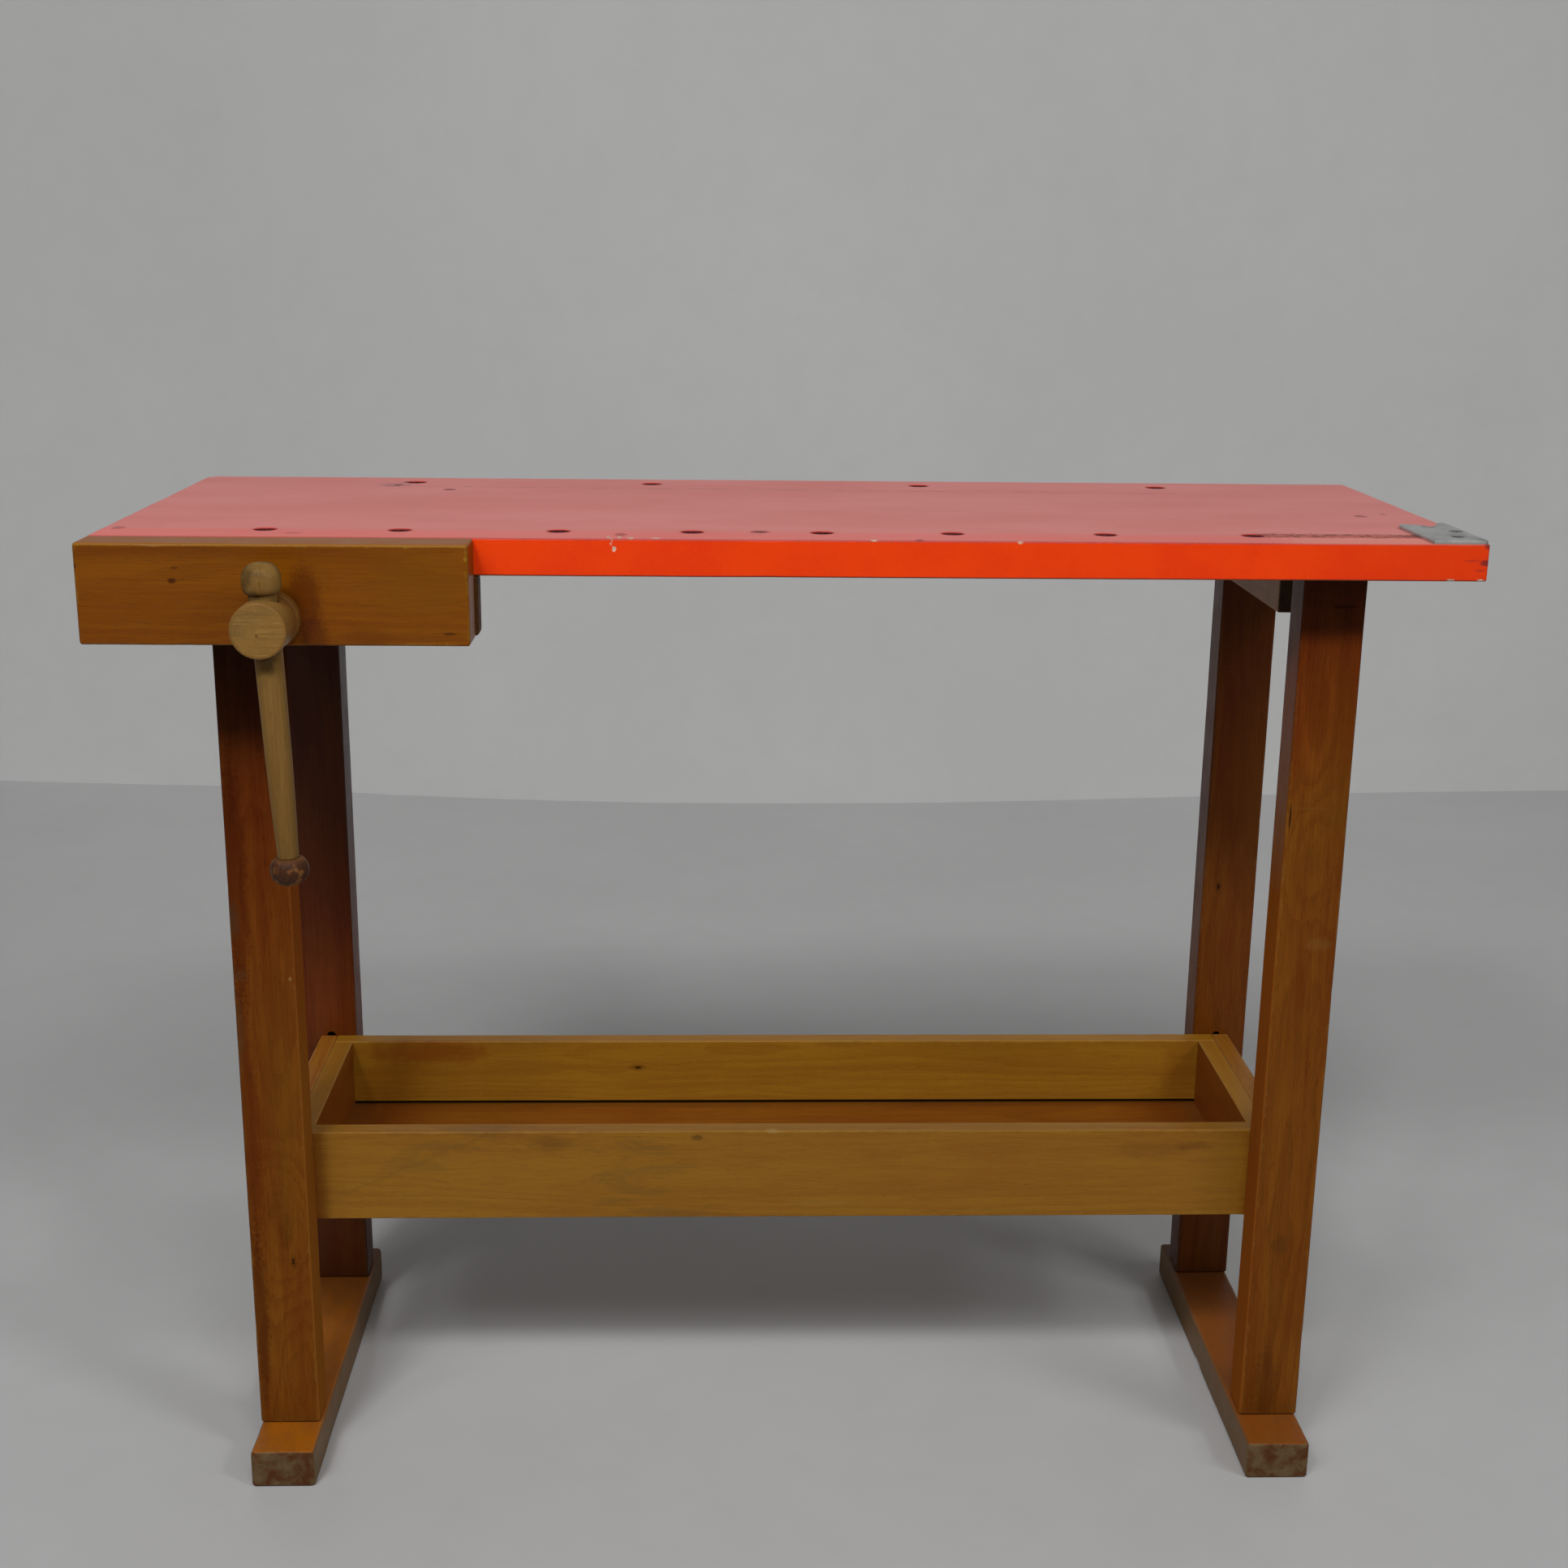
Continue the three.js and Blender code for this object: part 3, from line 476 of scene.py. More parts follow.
    # torn fibres along the groove: a ragged brown band with dark pits strung along it
    along = t.m("MULTIPLY", t.step(x, 336, 346), t.step(x, 468, 458))
    torn = t.noise(t.v("MULTIPLY", P, (0.21, 0.10, 0.1)), 1.0, 4, 0.7)
    off_y = t.m("ABSOLUTE", t.m("SUBTRACT", y, t.m("ADD", R(0, 38.6)[1], t.m("MULTIPLY", t.m("SUBTRACT", wn, 0.5), 7.0))))
    gouge = t.m("MULTIPLY", t.step(t.m("ADD", off_y, t.m("MULTIPLY", t.m("SUBTRACT", torn, 0.5), 18.0)), 12.5, 7.0), along)
    pits = t.m("MULTIPLY", t.m("MULTIPLY", t.step(t.m("ADD", off_y, t.m("MULTIPLY", t.m("SUBTRACT", torn, 0.5), 12.0)), 9.5, 6.5), t.step(t.noise(t.v("MULTIPLY", P, (0.20, 0.10, 0.1)), 1.0, 3, 0.6), 0.49, 0.58)), along)
    near_tip = t.m("MULTIPLY", t.m("MULTIPLY", t.step(x, 440, 456), t.step(x, 472, 464)), t.step(off_y, 6.5, 3.0))
    pits = t.m("MAXIMUM", pits, near_tip)
    upg = t.step(nz, 0.0, 0.5)
    gouge = t.m("MULTIPLY", gouge, upg)
    pits = t.m("MULTIPLY", pits, upg)
    col = t.mix(t.m("MULTIPLY", line, 0.55), col, srgb(112, 92, 90))
    col = t.mix(t.m("MULTIPLY", smear, t.m("MULTIPLY", up, 0.75)), col, srgb(112, 100, 98))
    col = t.mix(t.m("MULTIPLY", rim, t.m("MULTIPLY", t.step(nz, 0.2, 0.6), 0.60)), col, srgb(128, 56, 60))
    pale = t.m("MULTIPLY", t.m("MULTIPLY", t.step(x, 330, 380), t.step(y, R(0, 34)[1], R(0, 24)[1])), up)
    col = t.mix(t.m("MULTIPLY", pale, 0.40), col, srgb(226, 156, 132))
    col = t.mix(t.m("MULTIPLY", gouge, 0.66), col, srgb(158, 86, 74))
    col = t.mix(t.m("MULTIPLY", pits, 0.70), col, srgb(112, 52, 46))
    col = t.mix(t.m("MULTIPLY", darkm, 0.82), col, srgb(84, 30, 34))
    col = t.mix(t.m("MULTIPLY", chip, 0.9), col, bare)
    col = t.mix(inside, col, t.mix(t.step(fine, 0.4, 0.6), srgb(104, 40, 44), srgb(72, 28, 32)))
    # bare, oily wood underneath
    wood_u = t.mix(t.step(t.noise(t.v("MULTIPLY", P, (0.012, 0.5, 0.5)), 1.0, 5, 0.6), 0.35, 0.65), srgb(150, 108, 62), srgb(108, 72, 38))
    col = t.mix(down, col, wood_u)
    t.put(p.inputs["Base Color"], col)
    t.put(p.inputs["Specular IOR Level"], t.m("ADD", 0.16, t.m("MULTIPLY", up, 0.34)))
    ro = t.m("ADD", 0.34, t.m("MULTIPLY", big, 0.16))
    ro = t.m("ADD", ro, t.m("MULTIPLY", up, 0.10))
    ro = t.m("ADD", ro, t.m("MULTIPLY", tmax(t, [chip, darkm, gouge, down, inside]), 0.35), None, True)
    t.put(p.inputs["Roughness"], ro)
    t.put(p.inputs["IOR"], 1.5)
    # rolled-paint texture over faint boards, chips sunk into it
    h = t.m("MULTIPLY", t.noise(P, 0.35, 3, 0.6), 0.6)
    h = t.m("ADD", h, t.m("MULTIPLY", t.noise(t.v("MULTIPLY", P, (0.01, 0.3, 0.3)), 1.0, 4, 0.6), 0.5))
    h = t.m("SUBTRACT", h, t.m("MULTIPLY", chip, 1.6))
    h = t.m("SUBTRACT", h, t.m("MULTIPLY", tmax(t, [darkm, t.m("MULTIPLY", line, 0.6)]), 1.2))
    nrm = t.bump(h, 0.4, 0.0003)
    nrm = t.bump(t.noise(t.v("MULTIPLY", P, (0.006, 0.02, 0.02)), 1.0, 3, 0.5), 0.3, 0.0014, nrm)
    t.put(p.inputs["Normal"], nrm)
    return m


def metal(name, base, dark, rough=0.45, scale=1.0, rust=0.25, metallic=0.85, spots=()):
    m, t, p = new_mat(name)
    P0 = coords(t)
    P = t.v("SCALE", P0, scale=scale)
    big = t.noise(P, 0.06, 5, 0.65)
    fine = t.noise(P, 0.9, 4, 0.6)
    col = t.mix(t.step(big, 0.35, 0.68), base, dark)
    col = t.mix(t.m("MULTIPLY", t.step(fine, 0.5, 0.75), 0.35), col, tuple(v * 0.6 for v in dark))
    rs = t.step(t.noise(P, 0.13, 6, 0.72), 0.60, 0.70)
    col = t.mix(t.m("MULTIPLY", rs, rust), col, srgb(108, 74, 52))
    scr = t.step(t.noise(t.v("MULTIPLY", P, (0.05, 1.6, 1.0)), 1.0, 2, 0.5), 0.66, 0.74)
    col = t.mix(t.m("MULTIPLY", scr, 0.35), col, tuple(min(1, v * 1.6) for v in base))
    for at, r, c, amt in spots:
        col = t.mix(t.m("MULTIPLY", blob(t, P0, at, r, 0.4, 0.5, 0.3), amt), col, c)
    t.put(p.inputs["Base Color"], col)
    t.put(p.inputs["Metallic"], t.m("MULTIPLY", metallic, t.m("SUBTRACT", 1.0, t.m("MULTIPLY", rs, 0.7))))
    t.put(p.inputs["Roughness"], t.m("ADD", rough, t.m("MULTIPLY", t.m("SUBTRACT", big, 0.4), 0.4), None, True))
    h = t.m("SUBTRACT", t.m("MULTIPLY", fine, 0.4), t.m("MULTIPLY", scr, 0.5))
    nrm = t.bump(h, 0.35, 0.0002)
    nrm = t.bump(t.noise(P, 0.05, 3, 0.5), 0.4, 0.0012, nrm)
    t.put(p.inputs["Normal"], nrm)
    return m


# ------------------------------------------------------------------ mesh helpers
def mesh_obj(name, verts, faces, mat=None, smooth_angle=35.0):
    me = bpy.data.meshes.new(name)
    me.from_pydata([tuple(v) for v in verts], [], faces)
    me.validate()
    o = bpy.data.objects.new(name, me)
    COL.objects.link(o)
    if mat is not None:
        me.materials.append(mat)
    finish_shading(o, smooth_angle)
    return o


def finish_shading(o, angle=35.0):
    me = o.data
    me.polygons.foreach_set("use_smooth", [True] * len(me.polygons))
    try:
        me.set_sharp_from_angle(angle=math.radians(angle))
    except Exception:
        pass
    for md in list(o.modifiers):
        if md.type == "WEIGHTED_NORMAL":
            o.modifiers.remove(md)
    md = o.modifiers.new("wn", "WEIGHTED_NORMAL")
    md.keep_sharp = True
    md.weight = 60


def board_mesh(lo, hi, axis, r, seed, wear=0.5, seg=4, step=9.0, end_r=None, flat=0.12):
    """Rounded, slightly worn plank as vertices and faces: lo, hi in mm (row frame), axis the way its grain runs."""
    ai = "xyz".index(axis)
    o1, o2 = {0: (1, 2), 1: (2, 0), 2: (0, 1)}[ai]
    L = hi[ai] - lo[ai]
    A, B = (hi[o1] - lo[o1]) / 2, (hi[o2] - lo[o2]) / 2
    c1, c2 = (hi[o1] + lo[o1]) / 2, (hi[o2] + lo[o2]) / 2
    er = end_r if end_r is not None else r
    st = []
    k = 4
    for i in range(k + 1):
        a = i / k * math.pi / 2
        st.append((er * (1 - math.cos(a)), er * (1 - math.sin(a))))
    mid = max(2, int(round((L - 2 * er) / step)))
    stations = [(lo[ai] + s, ins) for s, ins in st]
    for i in range(1, mid):
        stations.append((lo[ai] + er + (L - 2 * er) * i / mid, 0.0))
    stations += [(hi[ai] - s, ins) for s, ins in reversed(st)]
    na = max(1, int(round(2 * A / 14.0)))
    nb = max(1, int(round(2 * B / 14.0)))
    sd = seed * 13.7

    def nz(x, y, z):
        return noise.noise(Vector((x, y, z)))

    verts, rings = [], []
    corners = [(1, 1), (-1, 1), (-1, -1), (1, -1)]
    for s, ins in stations:
        ring = []
        a_, b_ = A - ins, B - ins
        for ci, (sx, sy) in enumerate(corners):
            w = 0.5 + 0.5 * nz(s * 0.021, ci * 7.3 + sd, 1.7)
            w2 = max(0.0, nz(s * 0.055, ci * 3.1 + sd, 9.1) - 0.32) * 3.0
            rr = r * (0.75 + wear * w * 0.9) + wear * w2 * 1.6
            rr = min(rr, a_ * 0.9, b_ * 0.9)
            cx, cy = sx * (a_ - rr), sy * (b_ - rr)
            a0 = {(1, 1): 0, (-1, 1): 90, (-1, -1): 180, (1, -1): 270}[(sx, sy)]
            for j in range(seg + 1):
                a = math.radians(a0 + 90 * j / seg)
                ring.append((cx + rr * math.cos(a), cy + rr * math.sin(a)))
            nx = corners[(ci + 1) % 4]
            n = na if sy == nx[1] else nb
            # points between this corner and the next, filled after both corners are known
            ring.append(("gap", n))
        flatring = []
        pts = ring
        for idx, q in enumerate(pts):
            if isinstance(q[0], str):
                pa = flatring[-1]
                j = (idx + 1) % len(pts)
                pb = pts[j]
                for m_ in range(1, q[1]):
                    u = m_ / q[1]
                    flatring.append((pa[0] + (pb[0] - pa[0]) * u, pa[1] + (pb[1] - pa[1]) * u))
            else:
                flatring.append(q)
        out = []
        for (u, v) in flatring:
            # faces a hair inside the plank's box, never outside it
            dn = flat * (0.5 + 0.5 * nz(s * 0.012 + sd, u * 0.05, v * 0.05))
            sc_ = (1 - dn / max(A, 1), 1 - dn / max(B, 1))
            p = [0, 0, 0]
            p[ai] = s
            p[o1] = c1 + u * sc_[0]
            p[o2] = c2 + v * sc_[1]
            out.append(len(verts))
            verts.append(p)
        rings.append(out)
    faces = []
    n = len(rings[0])
    for i in range(len(rings) - 1):
        for j in range(n):
            faces.append((rings[i][j], rings[i][(j + 1) % n], rings[i + 1][(j + 1) % n], rings[i + 1][j]))
    faces.append(tuple(reversed(rings[0])))
    faces.append(tuple(rings[-1]))
    return [(np.array(v) / 1000.0) for v in verts], faces


def board(name, lo, hi, axis, r, seed, mat, **kw):
    v, f = board_mesh(lo, hi, axis, r, seed, **kw)
    return mesh_obj(name, v, f, mat)


def lathe_mesh(profile, segments=64, seed=0, wob=0.0):
    """Turned solid about +Z from (radius, height) pairs in mm, first and last on the axis."""
    verts, faces, rows = [], [], []
    for (r, h) in profile:
        if r < 1e-6:
            rows.append([len(verts)])
            verts.append((0, 0, h / 1000))
        else:
            row = []
            for i in range(segments):
                a = 2 * math.pi * i / segments
                rr = r * (1 + wob * noise.noise(Vector((math.cos(a) * 1.3, math.sin(a) * 1.3, h * 0.045 + seed))))
                row.append(len(verts))
                verts.append((rr * math.cos(a) / 1000, rr * math.sin(a) / 1000, h / 1000))
            rows.append(row)
    for a, b in zip(rows, rows[1:]):
        if len(a) == 1 and len(b) == 1:
            continue
        for i in range(segments):
            j = (i + 1) % segments
            if len(a) == 1:
                faces.append((a[0], b[j], b[i]))
            elif len(b) == 1:
                faces.append((a[i], a[j], b[0]))
            else:
                faces.append((a[i], a[j], b[j], b[i]))
    return verts, faces


def smooth_profile(pts, n=6):
    """Catmull-Rom through the points, keeping both ends."""
    out = []
    P = [np.array(p, float) for p in pts]
    for i in range(len(P) - 1):
        p0 = P[i - 1] if i else P[i]
        p1, p2 = P[i], P[i + 1]
        p3 = P[i + 2] if i + 2 < len(P) else P[i + 1]
        for k in range(n):
            u = k / n
            q = 0.5 * ((2 * p1) + (-p0 + p2) * u + (2 * p0 - 5 * p1 + 4 * p2 - p3) * u * u + (-p0 + 3 * p1 - 3 * p2 + p3) * u**3)
            out.append((max(0.0, float(q[0])), float(q[1])))
    out.append(tuple(map(float, P[-1])))
    out[0] = tuple(map(float, P[0]))
    return out


def place(verts, at, direction):
    """Turn +Z to a direction and move the origin to a place (mm)."""
    d = Vector(direction).normalized()
    q = Vector((0, 0, 1)).rotation_difference(d)
    a = Vector(at) / 1000
    return [tuple(q @ Vector(v) + a) for v in verts]


def turned(name, profile, at, direction, mat, segments=64, seed=0, wob=0.0, angle=40.0):
    v, f = lathe_mesh(profile, segments, seed, wob)
    return mesh_obj(name, place(v, at, direction), f, mat, angle)


def cutter(verts, faces):
    me = bpy.data.meshes.new("cut")
    me.from_pydata([tuple(v) for v in verts], [], faces)
    o = bpy.data.objects.new("cut", me)
    COL.objects.link(o)
    return o


def cut(o, tools):
    """Subtract closed meshes from a piece."""
    for md in list(o.modifiers):
        o.modifiers.remove(md)
    for tool in tools:
        md = o.modifiers.new("b", "BOOLEAN")
        md.operation = "DIFFERENCE"
        md.solver = "EXACT"
        md.object = tool
    dg = bpy.context.evaluated_depsgraph_get()
    me = bpy.data.meshes.new_from_object(o.evaluated_get(dg))
    o.modifiers.clear()
    old = o.data
    o.data = me
    bpy.data.meshes.remove(old)
    for tool in tools:
        tm = tool.data
        bpy.data.objects.remove(tool)
        bpy.data.meshes.remove(tm)
    finish_shading(o)
    return o


def cyl(r, h, at, direction, seg=48, prof=None):
    v, f = lathe_mesh(prof or [(0, 0), (r, 0), (r, h), (0, h)], seg)
    return cutter(place(v, at, direction), f)


def boxm(lo, hi):
    (x0, y0, z0), (x1, y1, z1) = [tuple(c / 1000 for c in q) for q in (lo, hi)]
    v = [(x0, y0, z0), (x1, y0, z0), (x1, y1, z0), (x0, y1, z0), (x0, y0, z1), (x1, y0, z1), (x1, y1, z1), (x0, y1, z1)]
    f = [(3, 2, 1, 0), (4, 5, 6, 7), (0, 1, 5, 4), (1, 2, 6, 5), (2, 3, 7, 6), (3, 0, 4, 7)]
    return cutter(v, f)


def ends(node):
    lo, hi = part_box(node)
    return [v * 1000 for v in lo], [v * 1000 for v in hi]


def done(o, node, body):
    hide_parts(node)
    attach(o, body)
    return o


Yr = lambda y: y - 138.5

# ------------------------------------------------------------------ trestles
def leg_extra(marks, shade, side):
    def f(t, P, col, k):
        for (at, r, color, amount, wob) in marks:
            mk = blob(t, P, R(*at), r, 0.4, wob, 0.3)
            col = t.mix(t.m("MULTIPLY", mk, amount), col, color)
        # painted shade: colour darkened by height, deepest near the worktop; the rear legs are darkened along their
        # whole height
        x, y, z = t.sep(P)
        zz = t.m("ADD", z, t.m("MULTIPLY", t.m("SUBTRACT", k["wn"], 0.5), 50.0))
        tint = t.ramp(t.m("DIVIDE", zz, 745.0, None, True), [(z0 / 745.0, c) for z0, c in shade])
        # painted light: the left front leg's inner face, and the right front leg's inner face below 600 mm, are painted
        # lighter and warmer, a stand-in for light they catch
        geo = t.n.new("ShaderNodeNewGeometry")
        nx, ny, nz = t.sep(geo.outputs["Normal"])
        if side == "left_front_leg":
            col = t.mix(t.m("MULTIPLY", t.step(nx, 0.4, 0.8), 0.85), col, srgb(180, 114, 62))
        if side == "right_front_leg":
            low = t.step(z, 600.0, 430.0)
            col = t.mix(t.m("MULTIPLY", t.m("MULTIPLY", t.step(nx, -0.4, -0.8), low), 0.8), col, srgb(184, 106, 56))
        return t.mix(1.0, col, tint, "MULTIPLY")

    return f


LEGS = {
    "left_front_leg": dict(
        seed=11, heart=(8, -95), knots=[(R(-396, 51, 179), 1.25, 0.9), (R(-400, 51, 204), 8.0, 0.20), (R(-409, 51, 226), 5.0, 0.16)],
        marks=[((-429, 51, 470), (6, 5, 14), srgb(118, 110, 92), 0.6, 0.9), ((-429, 51, 424), (9, 4, 5), srgb(122, 104, 84), 0.5, 0.9), ((-386, 51, 421), (1.4, 3, 1.6), srgb(186, 160, 120), 0.6, 0.4), ((-428, 51, 380), (4, 4, 26), srgb(112, 100, 84), 0.45, 0.9), ((-424, 51, 130), (5, 4, 70), srgb(84, 36, 14), 0.55, 0.7), ((-427, 51, 300), (9, 5, 120), srgb(96, 34, 14), 0.45, 0.6), ((-424, 51, 500), (9, 5, 90), srgb(84, 26, 10), 0.50, 0.6), ((-399, 51, 330), (11, 4, 110), srgb(128, 84, 30), 0.35, 0.5)],
        shade=[(0, (1, 1, 1)), (330, (1.0, 0.98, 0.98)), (420, (0.94, 0.80, 0.90)), (500, (0.84, 0.62, 0.80)), (575, (0.66, 0.44, 0.62)), (625, (0.44, 0.32, 0.50)), (670, (0.24, 0.20, 0.36)), (745, (0.20, 0.17, 0.34))],
    ),
    "right_front_leg": dict(
        seed=23, heart=(-6, -80), knots=[(R(383, 69, 281), 3.6, 0.9), (R(405, 51, 520), 7.0, 0.15)],
        marks=[((385.0, 51, 553), (0.9, 4, 10), srgb(44, 26, 14), 0.8, 0.25), ((414, 51, 717), (9, 4, 1.2), srgb(40, 20, 12), 0.6, 0.4), ((415, 51, 449), (10, 4, 5), srgb(166, 134, 92), 0.16, 0.95), ((420, 51, 600), (12, 4, 70), srgb(126, 88, 30), 0.35, 0.6), ((398, 51, 560), (14, 4, 1.0), srgb(150, 116, 74), 0.15, 0.9), ((402, 51, 60), (9, 4, 34), srgb(86, 40, 20), 0.45, 0.6), ((404, 51, 190), (6, 4, 9), srgb(84, 50, 22), 0.30, 0.7)],
        shade=[(0, (1, 1, 1)), (560, (1, 0.96, 0.96)), (620, (0.92, 0.66, 0.72)), (690, (0.72, 0.46, 0.58)), (725, (0.42, 0.28, 0.42)), (745, (0.26, 0.20, 0.36))],
    ),
    "left_rear_leg": dict(
        seed=37, heart=(10, 120), knots=[], marks=[],
        shade=[(0, (0.42, 0.34, 0.42)), (200, (0.48, 0.40, 0.48)), (300, (0.76, 0.50, 0.58)), (400, (0.62, 0.38, 0.48)), (500, (0.42, 0.28, 0.42)), (620, (0.30, 0.23, 0.46)), (745, (0.26, 0.22, 0.44))],
    ),
    "right_rear_leg": dict(
        seed=41, heart=(14, -110), knots=[(R(396, 292, 418), 1.3, 0.95)], marks=[],
        shade=[(0, (0.52, 0.42, 0.56)), (200, (0.62, 0.52, 0.62)), (320, (0.85, 0.74, 0.80)), (520, (0.88, 0.76, 0.95)), (640, (0.66, 0.52, 0.85)), (745, (0.42, 0.34, 0.70))],
    ),
}
for n, k in LEGS.items():
    lo, hi = ends(n)
    lo[2], hi[2] = 32.0, 745.0
    mt = wood(
        n, "z", lo, hi, "leg", k["seed"], heart=k["heart"], spacing=4.2, contrast=0.34, blotch=0.55,
        knots=k["knots"], wear=0.38, floor_grime=0.30, rough=0.38, extra=leg_extra(k["marks"], k["shade"], n), streak=0.40,
    )
    o = board(n + "_timber", lo, hi, "z", 2.2, k["seed"], mt, wear=0.7, step=8.0)
    # the tenons are hidden in the foot and the top; the rail's housing is cut in
    side = -1 if "left" in n else 1
    front = "front" in n
    rx = side * (399 + 7.5)
    y = -138.5 + (85 - 20 if front else 292 - 3)
    prof = []
    rt, mx = (4.2, 1.7) if "left" in n else (3.2, -3.0)
    for zc, a0, cx, rr in ((275.2, 0, rx + mx, rt), (207, 180, rx, 6.5)):
        for i in range(13):
            a = math.radians(a0 + 180 * i / 12)
            prof.append((cx + rr * math.cos(a), zc + rr * math.sin(a)))
    v = [(px / 1000, y / 1000, pz / 1000) for px, pz in prof] + [(px / 1000, (y + 23) / 1000, pz / 1000) for px, pz in prof]
    m_ = len(prof)
    f = [tuple(range(m_)), tuple(reversed(range(m_, 2 * m_)))]
    f += [((i + 1) % m_, i, m_ + i, m_ + (i + 1) % m_) for i in range(m_)]
    cut(o, [cutter(v, f)])
    done(o, n, "bench")

def foot_marks(lx):
    def f(t, P, col, k):
        # greyer sides, a warmer top, and the top darker towards the rear, under the tray
        geo = t.n.new("ShaderNodeNewGeometry")
        nx, ny, nz = t.sep(geo.outputs["Normal"])
        sidef = t.step(t.m("ABSOLUTE", nx), 0.6, 0.85)
        topf = t.step(nz, 0.6, 0.85)
        x, y, z = t.sep(P)
        mott = t.noise(t.v("MULTIPLY", P, (0.05, 0.02, 0.06)), 1.0, 5, 0.65)
        col = t.mix(t.m("MULTIPLY", sidef, t.step(mott, 0.3, 0.7, 0.35, 0.8)), col, srgb(112, 98, 74))
        col = t.mix(t.m("MULTIPLY", topf, t.step(mott, 0.35, 0.65, 0.45, 0.85)), col, srgb(172, 104, 14) if lx < 0 else srgb(140, 80, 26))
        rear = t.m("MULTIPLY", topf, t.step(y, 60.0, 150.0))
        return t.mix(t.m("MULTIPLY", rear, 0.6), col, srgb(84, 52, 36))

    return f


def cleat_end_painted_shade(t, P, col, k):
    # painted shade: the front end face of each cleat, in shadow between the legs, is painted near black
    geo = t.n.new("ShaderNodeNewGeometry")
    nx, ny, nz = t.sep(geo.outputs["Normal"])
    x, y, z = t.sep(P)
    face = t.m("MULTIPLY", t.step(ny, -0.5, -0.85), t.step(y, Yr(124.0), Yr(120.0)))
    return t.mix(t.m("MULTIPLY", face, t.step(k["wn"], 0.2, 0.8, 0.75, 0.95)), col, srgb(36, 27, 19))


for side, sd in (("left", 53), ("right", 59)):
    n = side + "_foot"
    lo, hi = ends(n)
    mt = wood(
        n, "y", lo, hi, "foot", sd, heart=(4, -60), spacing=3.8, contrast=0.4, blotch=0.4, wear=0.6,
        floor_grime=0.35, end_grime=0.85, rough=0.45, film=0.08, extra=foot_marks(-1 if side == "left" else 1),
    )
    o = board(n + "_timber", lo, hi, "y", 2.4, sd, mt, wear=1.1, step=7.0, end_r=2.4, flat=0.25)
    done(o, n, "bench")

    n = side + "_lower_rail"
    lo, hi = ends(n)
    lo[1], hi[1] = 85 - 138.5, 292 - 138.5
    mt = wood(n, "y", lo, hi, "shelf", sd + 3, heart=(30, -70), spacing=3.2, contrast=0.4, wear=0.35, rough=0.40)
    o = board(n + "_timber", lo, hi, "y", 1.3, sd + 3, mt, wear=0.5)
    done(o, n, "bench")

    n = side + "_top_cleat"
    lo, hi = ends(n)
    mt = wood(n, "y", lo, hi, "under", sd + 5, heart=(20, -50), spacing=3.0, contrast=0.5, wear=0.5, rough=0.5, extra=cleat_end_painted_shade)
    o = board(n + "_timber", lo, hi, "y", 1.6, sd + 5, mt, wear=0.5)
    done(o, n, "bench")

# ------------------------------------------------------------------ shelf tray
def front_marks(t, P, col, k):
    x, y, z = t.sep(P)
    # greyish figure of a branch crossing the left half, fainter swirls beside it
    s = t.noise(t.v("MULTIPLY", P, (0.012, 0.03, 0.045)), 1.0, 5, 0.62, 1.2)
    left = t.m("MULTIPLY", t.step(x, -380, -260), t.step(x, 40, -120))
    veil = t.m("MULTIPLY", t.step(s, 0.50, 0.64), t.m("MULTIPLY", left, 0.35))
    col = t.mix(veil, col, srgb(120, 92, 62))
    arc = t.m("SUBTRACT", z, t.m("ADD", 264, t.m("MULTIPLY", t.m("ADD", x, 262), t.m("ADD", 0.40, t.m("MULTIPLY", t.m("ADD", x, 262), -0.0004)))))
    arc = t.m("ADD", arc, t.m("MULTIPLY", t.m("SUBTRACT", k["wn"], 0.5), 18.0))
    line = t.m("MULTIPLY", t.step(t.m("ABSOLUTE", arc), 3.0, 0.6), t.m("MULTIPLY", t.step(x, -380, -350), t.step(x, -205, -240)))
    col = t.mix(t.m("MULTIPLY", line, 0.20), col, srgb(118, 84, 52))
    for at, r, c, a in (
        ((-191, 85, 266), (15, 4, 7), srgb(100, 66, 40), 0.24),
        ((-71, 85, 270.5), (4, 4, 2.0), srgb(84, 50, 28), 0.55),
        ((-10, 85, 276), (6, 4, 2.0), srgb(188, 164, 128), 0.5),
        ((30, 85, 212), (22, 4, 3), srgb(168, 132, 82), 0.25),
        ((336, 85, 262), (16, 4, 3.5), srgb(110, 62, 34), 0.35),
        ((298, 85, 258), (30, 4, 6), srgb(116, 70, 40), 0.22),
    ):
        col = t.mix(t.m("MULTIPLY", blob(t, P, R(*at), r, 0.5, 0.8, 0.12), a), col, c)
    # painted shadow of the legs: darker, redder ends beside them
    wob = t.m("MULTIPLY", t.m("SUBTRACT", k["wn"], 0.5), 16.0)
    el = t.step(t.m("ADD", t.m("ADD", x, 399), wob), 32, 8)
    er = t.m("MULTIPLY", t.step(t.m("ADD", t.m("SUBTRACT", 399, x), wob), 26, 6), 0.7)
    below = t.step(z, 276, 273)
    return t.mix(t.m("MULTIPLY", t.m("MULTIPLY", t.m("MAXIMUM", el, er), below), 0.8), col, srgb(136, 56, 24))


def rear_marks(t, P, col, k):
    x, y, z = t.sep(P)
    # redder stain towards the left end, and a painted shadow in the gap along the joint with the floor
    for at, r, c, a in (
        ((-318, 276, 268), (46, 5, 12), srgb(140, 58, 26), 0.50),
        ((-350, 276, 236), (26, 5, 26), srgb(140, 66, 26), 0.30),
        ((372, 276, 244), (16, 5, 34), srgb(132, 72, 30), 0.4),
    ):
        col = t.mix(t.m("MULTIPLY", blob(t, P, R(*at), r, 0.6, 0.8, 0.07), a), col, c)
    gap_shadow = t.m("MULTIPLY", t.step(z, 219.2, 218.0), t.step(z, 213.0, 215.0))
    gap_shadow = t.m("MULTIPLY", gap_shadow, t.step(y, Yr(285.0), Yr(282.0)))
    return t.mix(t.m("MULTIPLY", gap_shadow, 0.9), col, srgb(40, 20, 10))


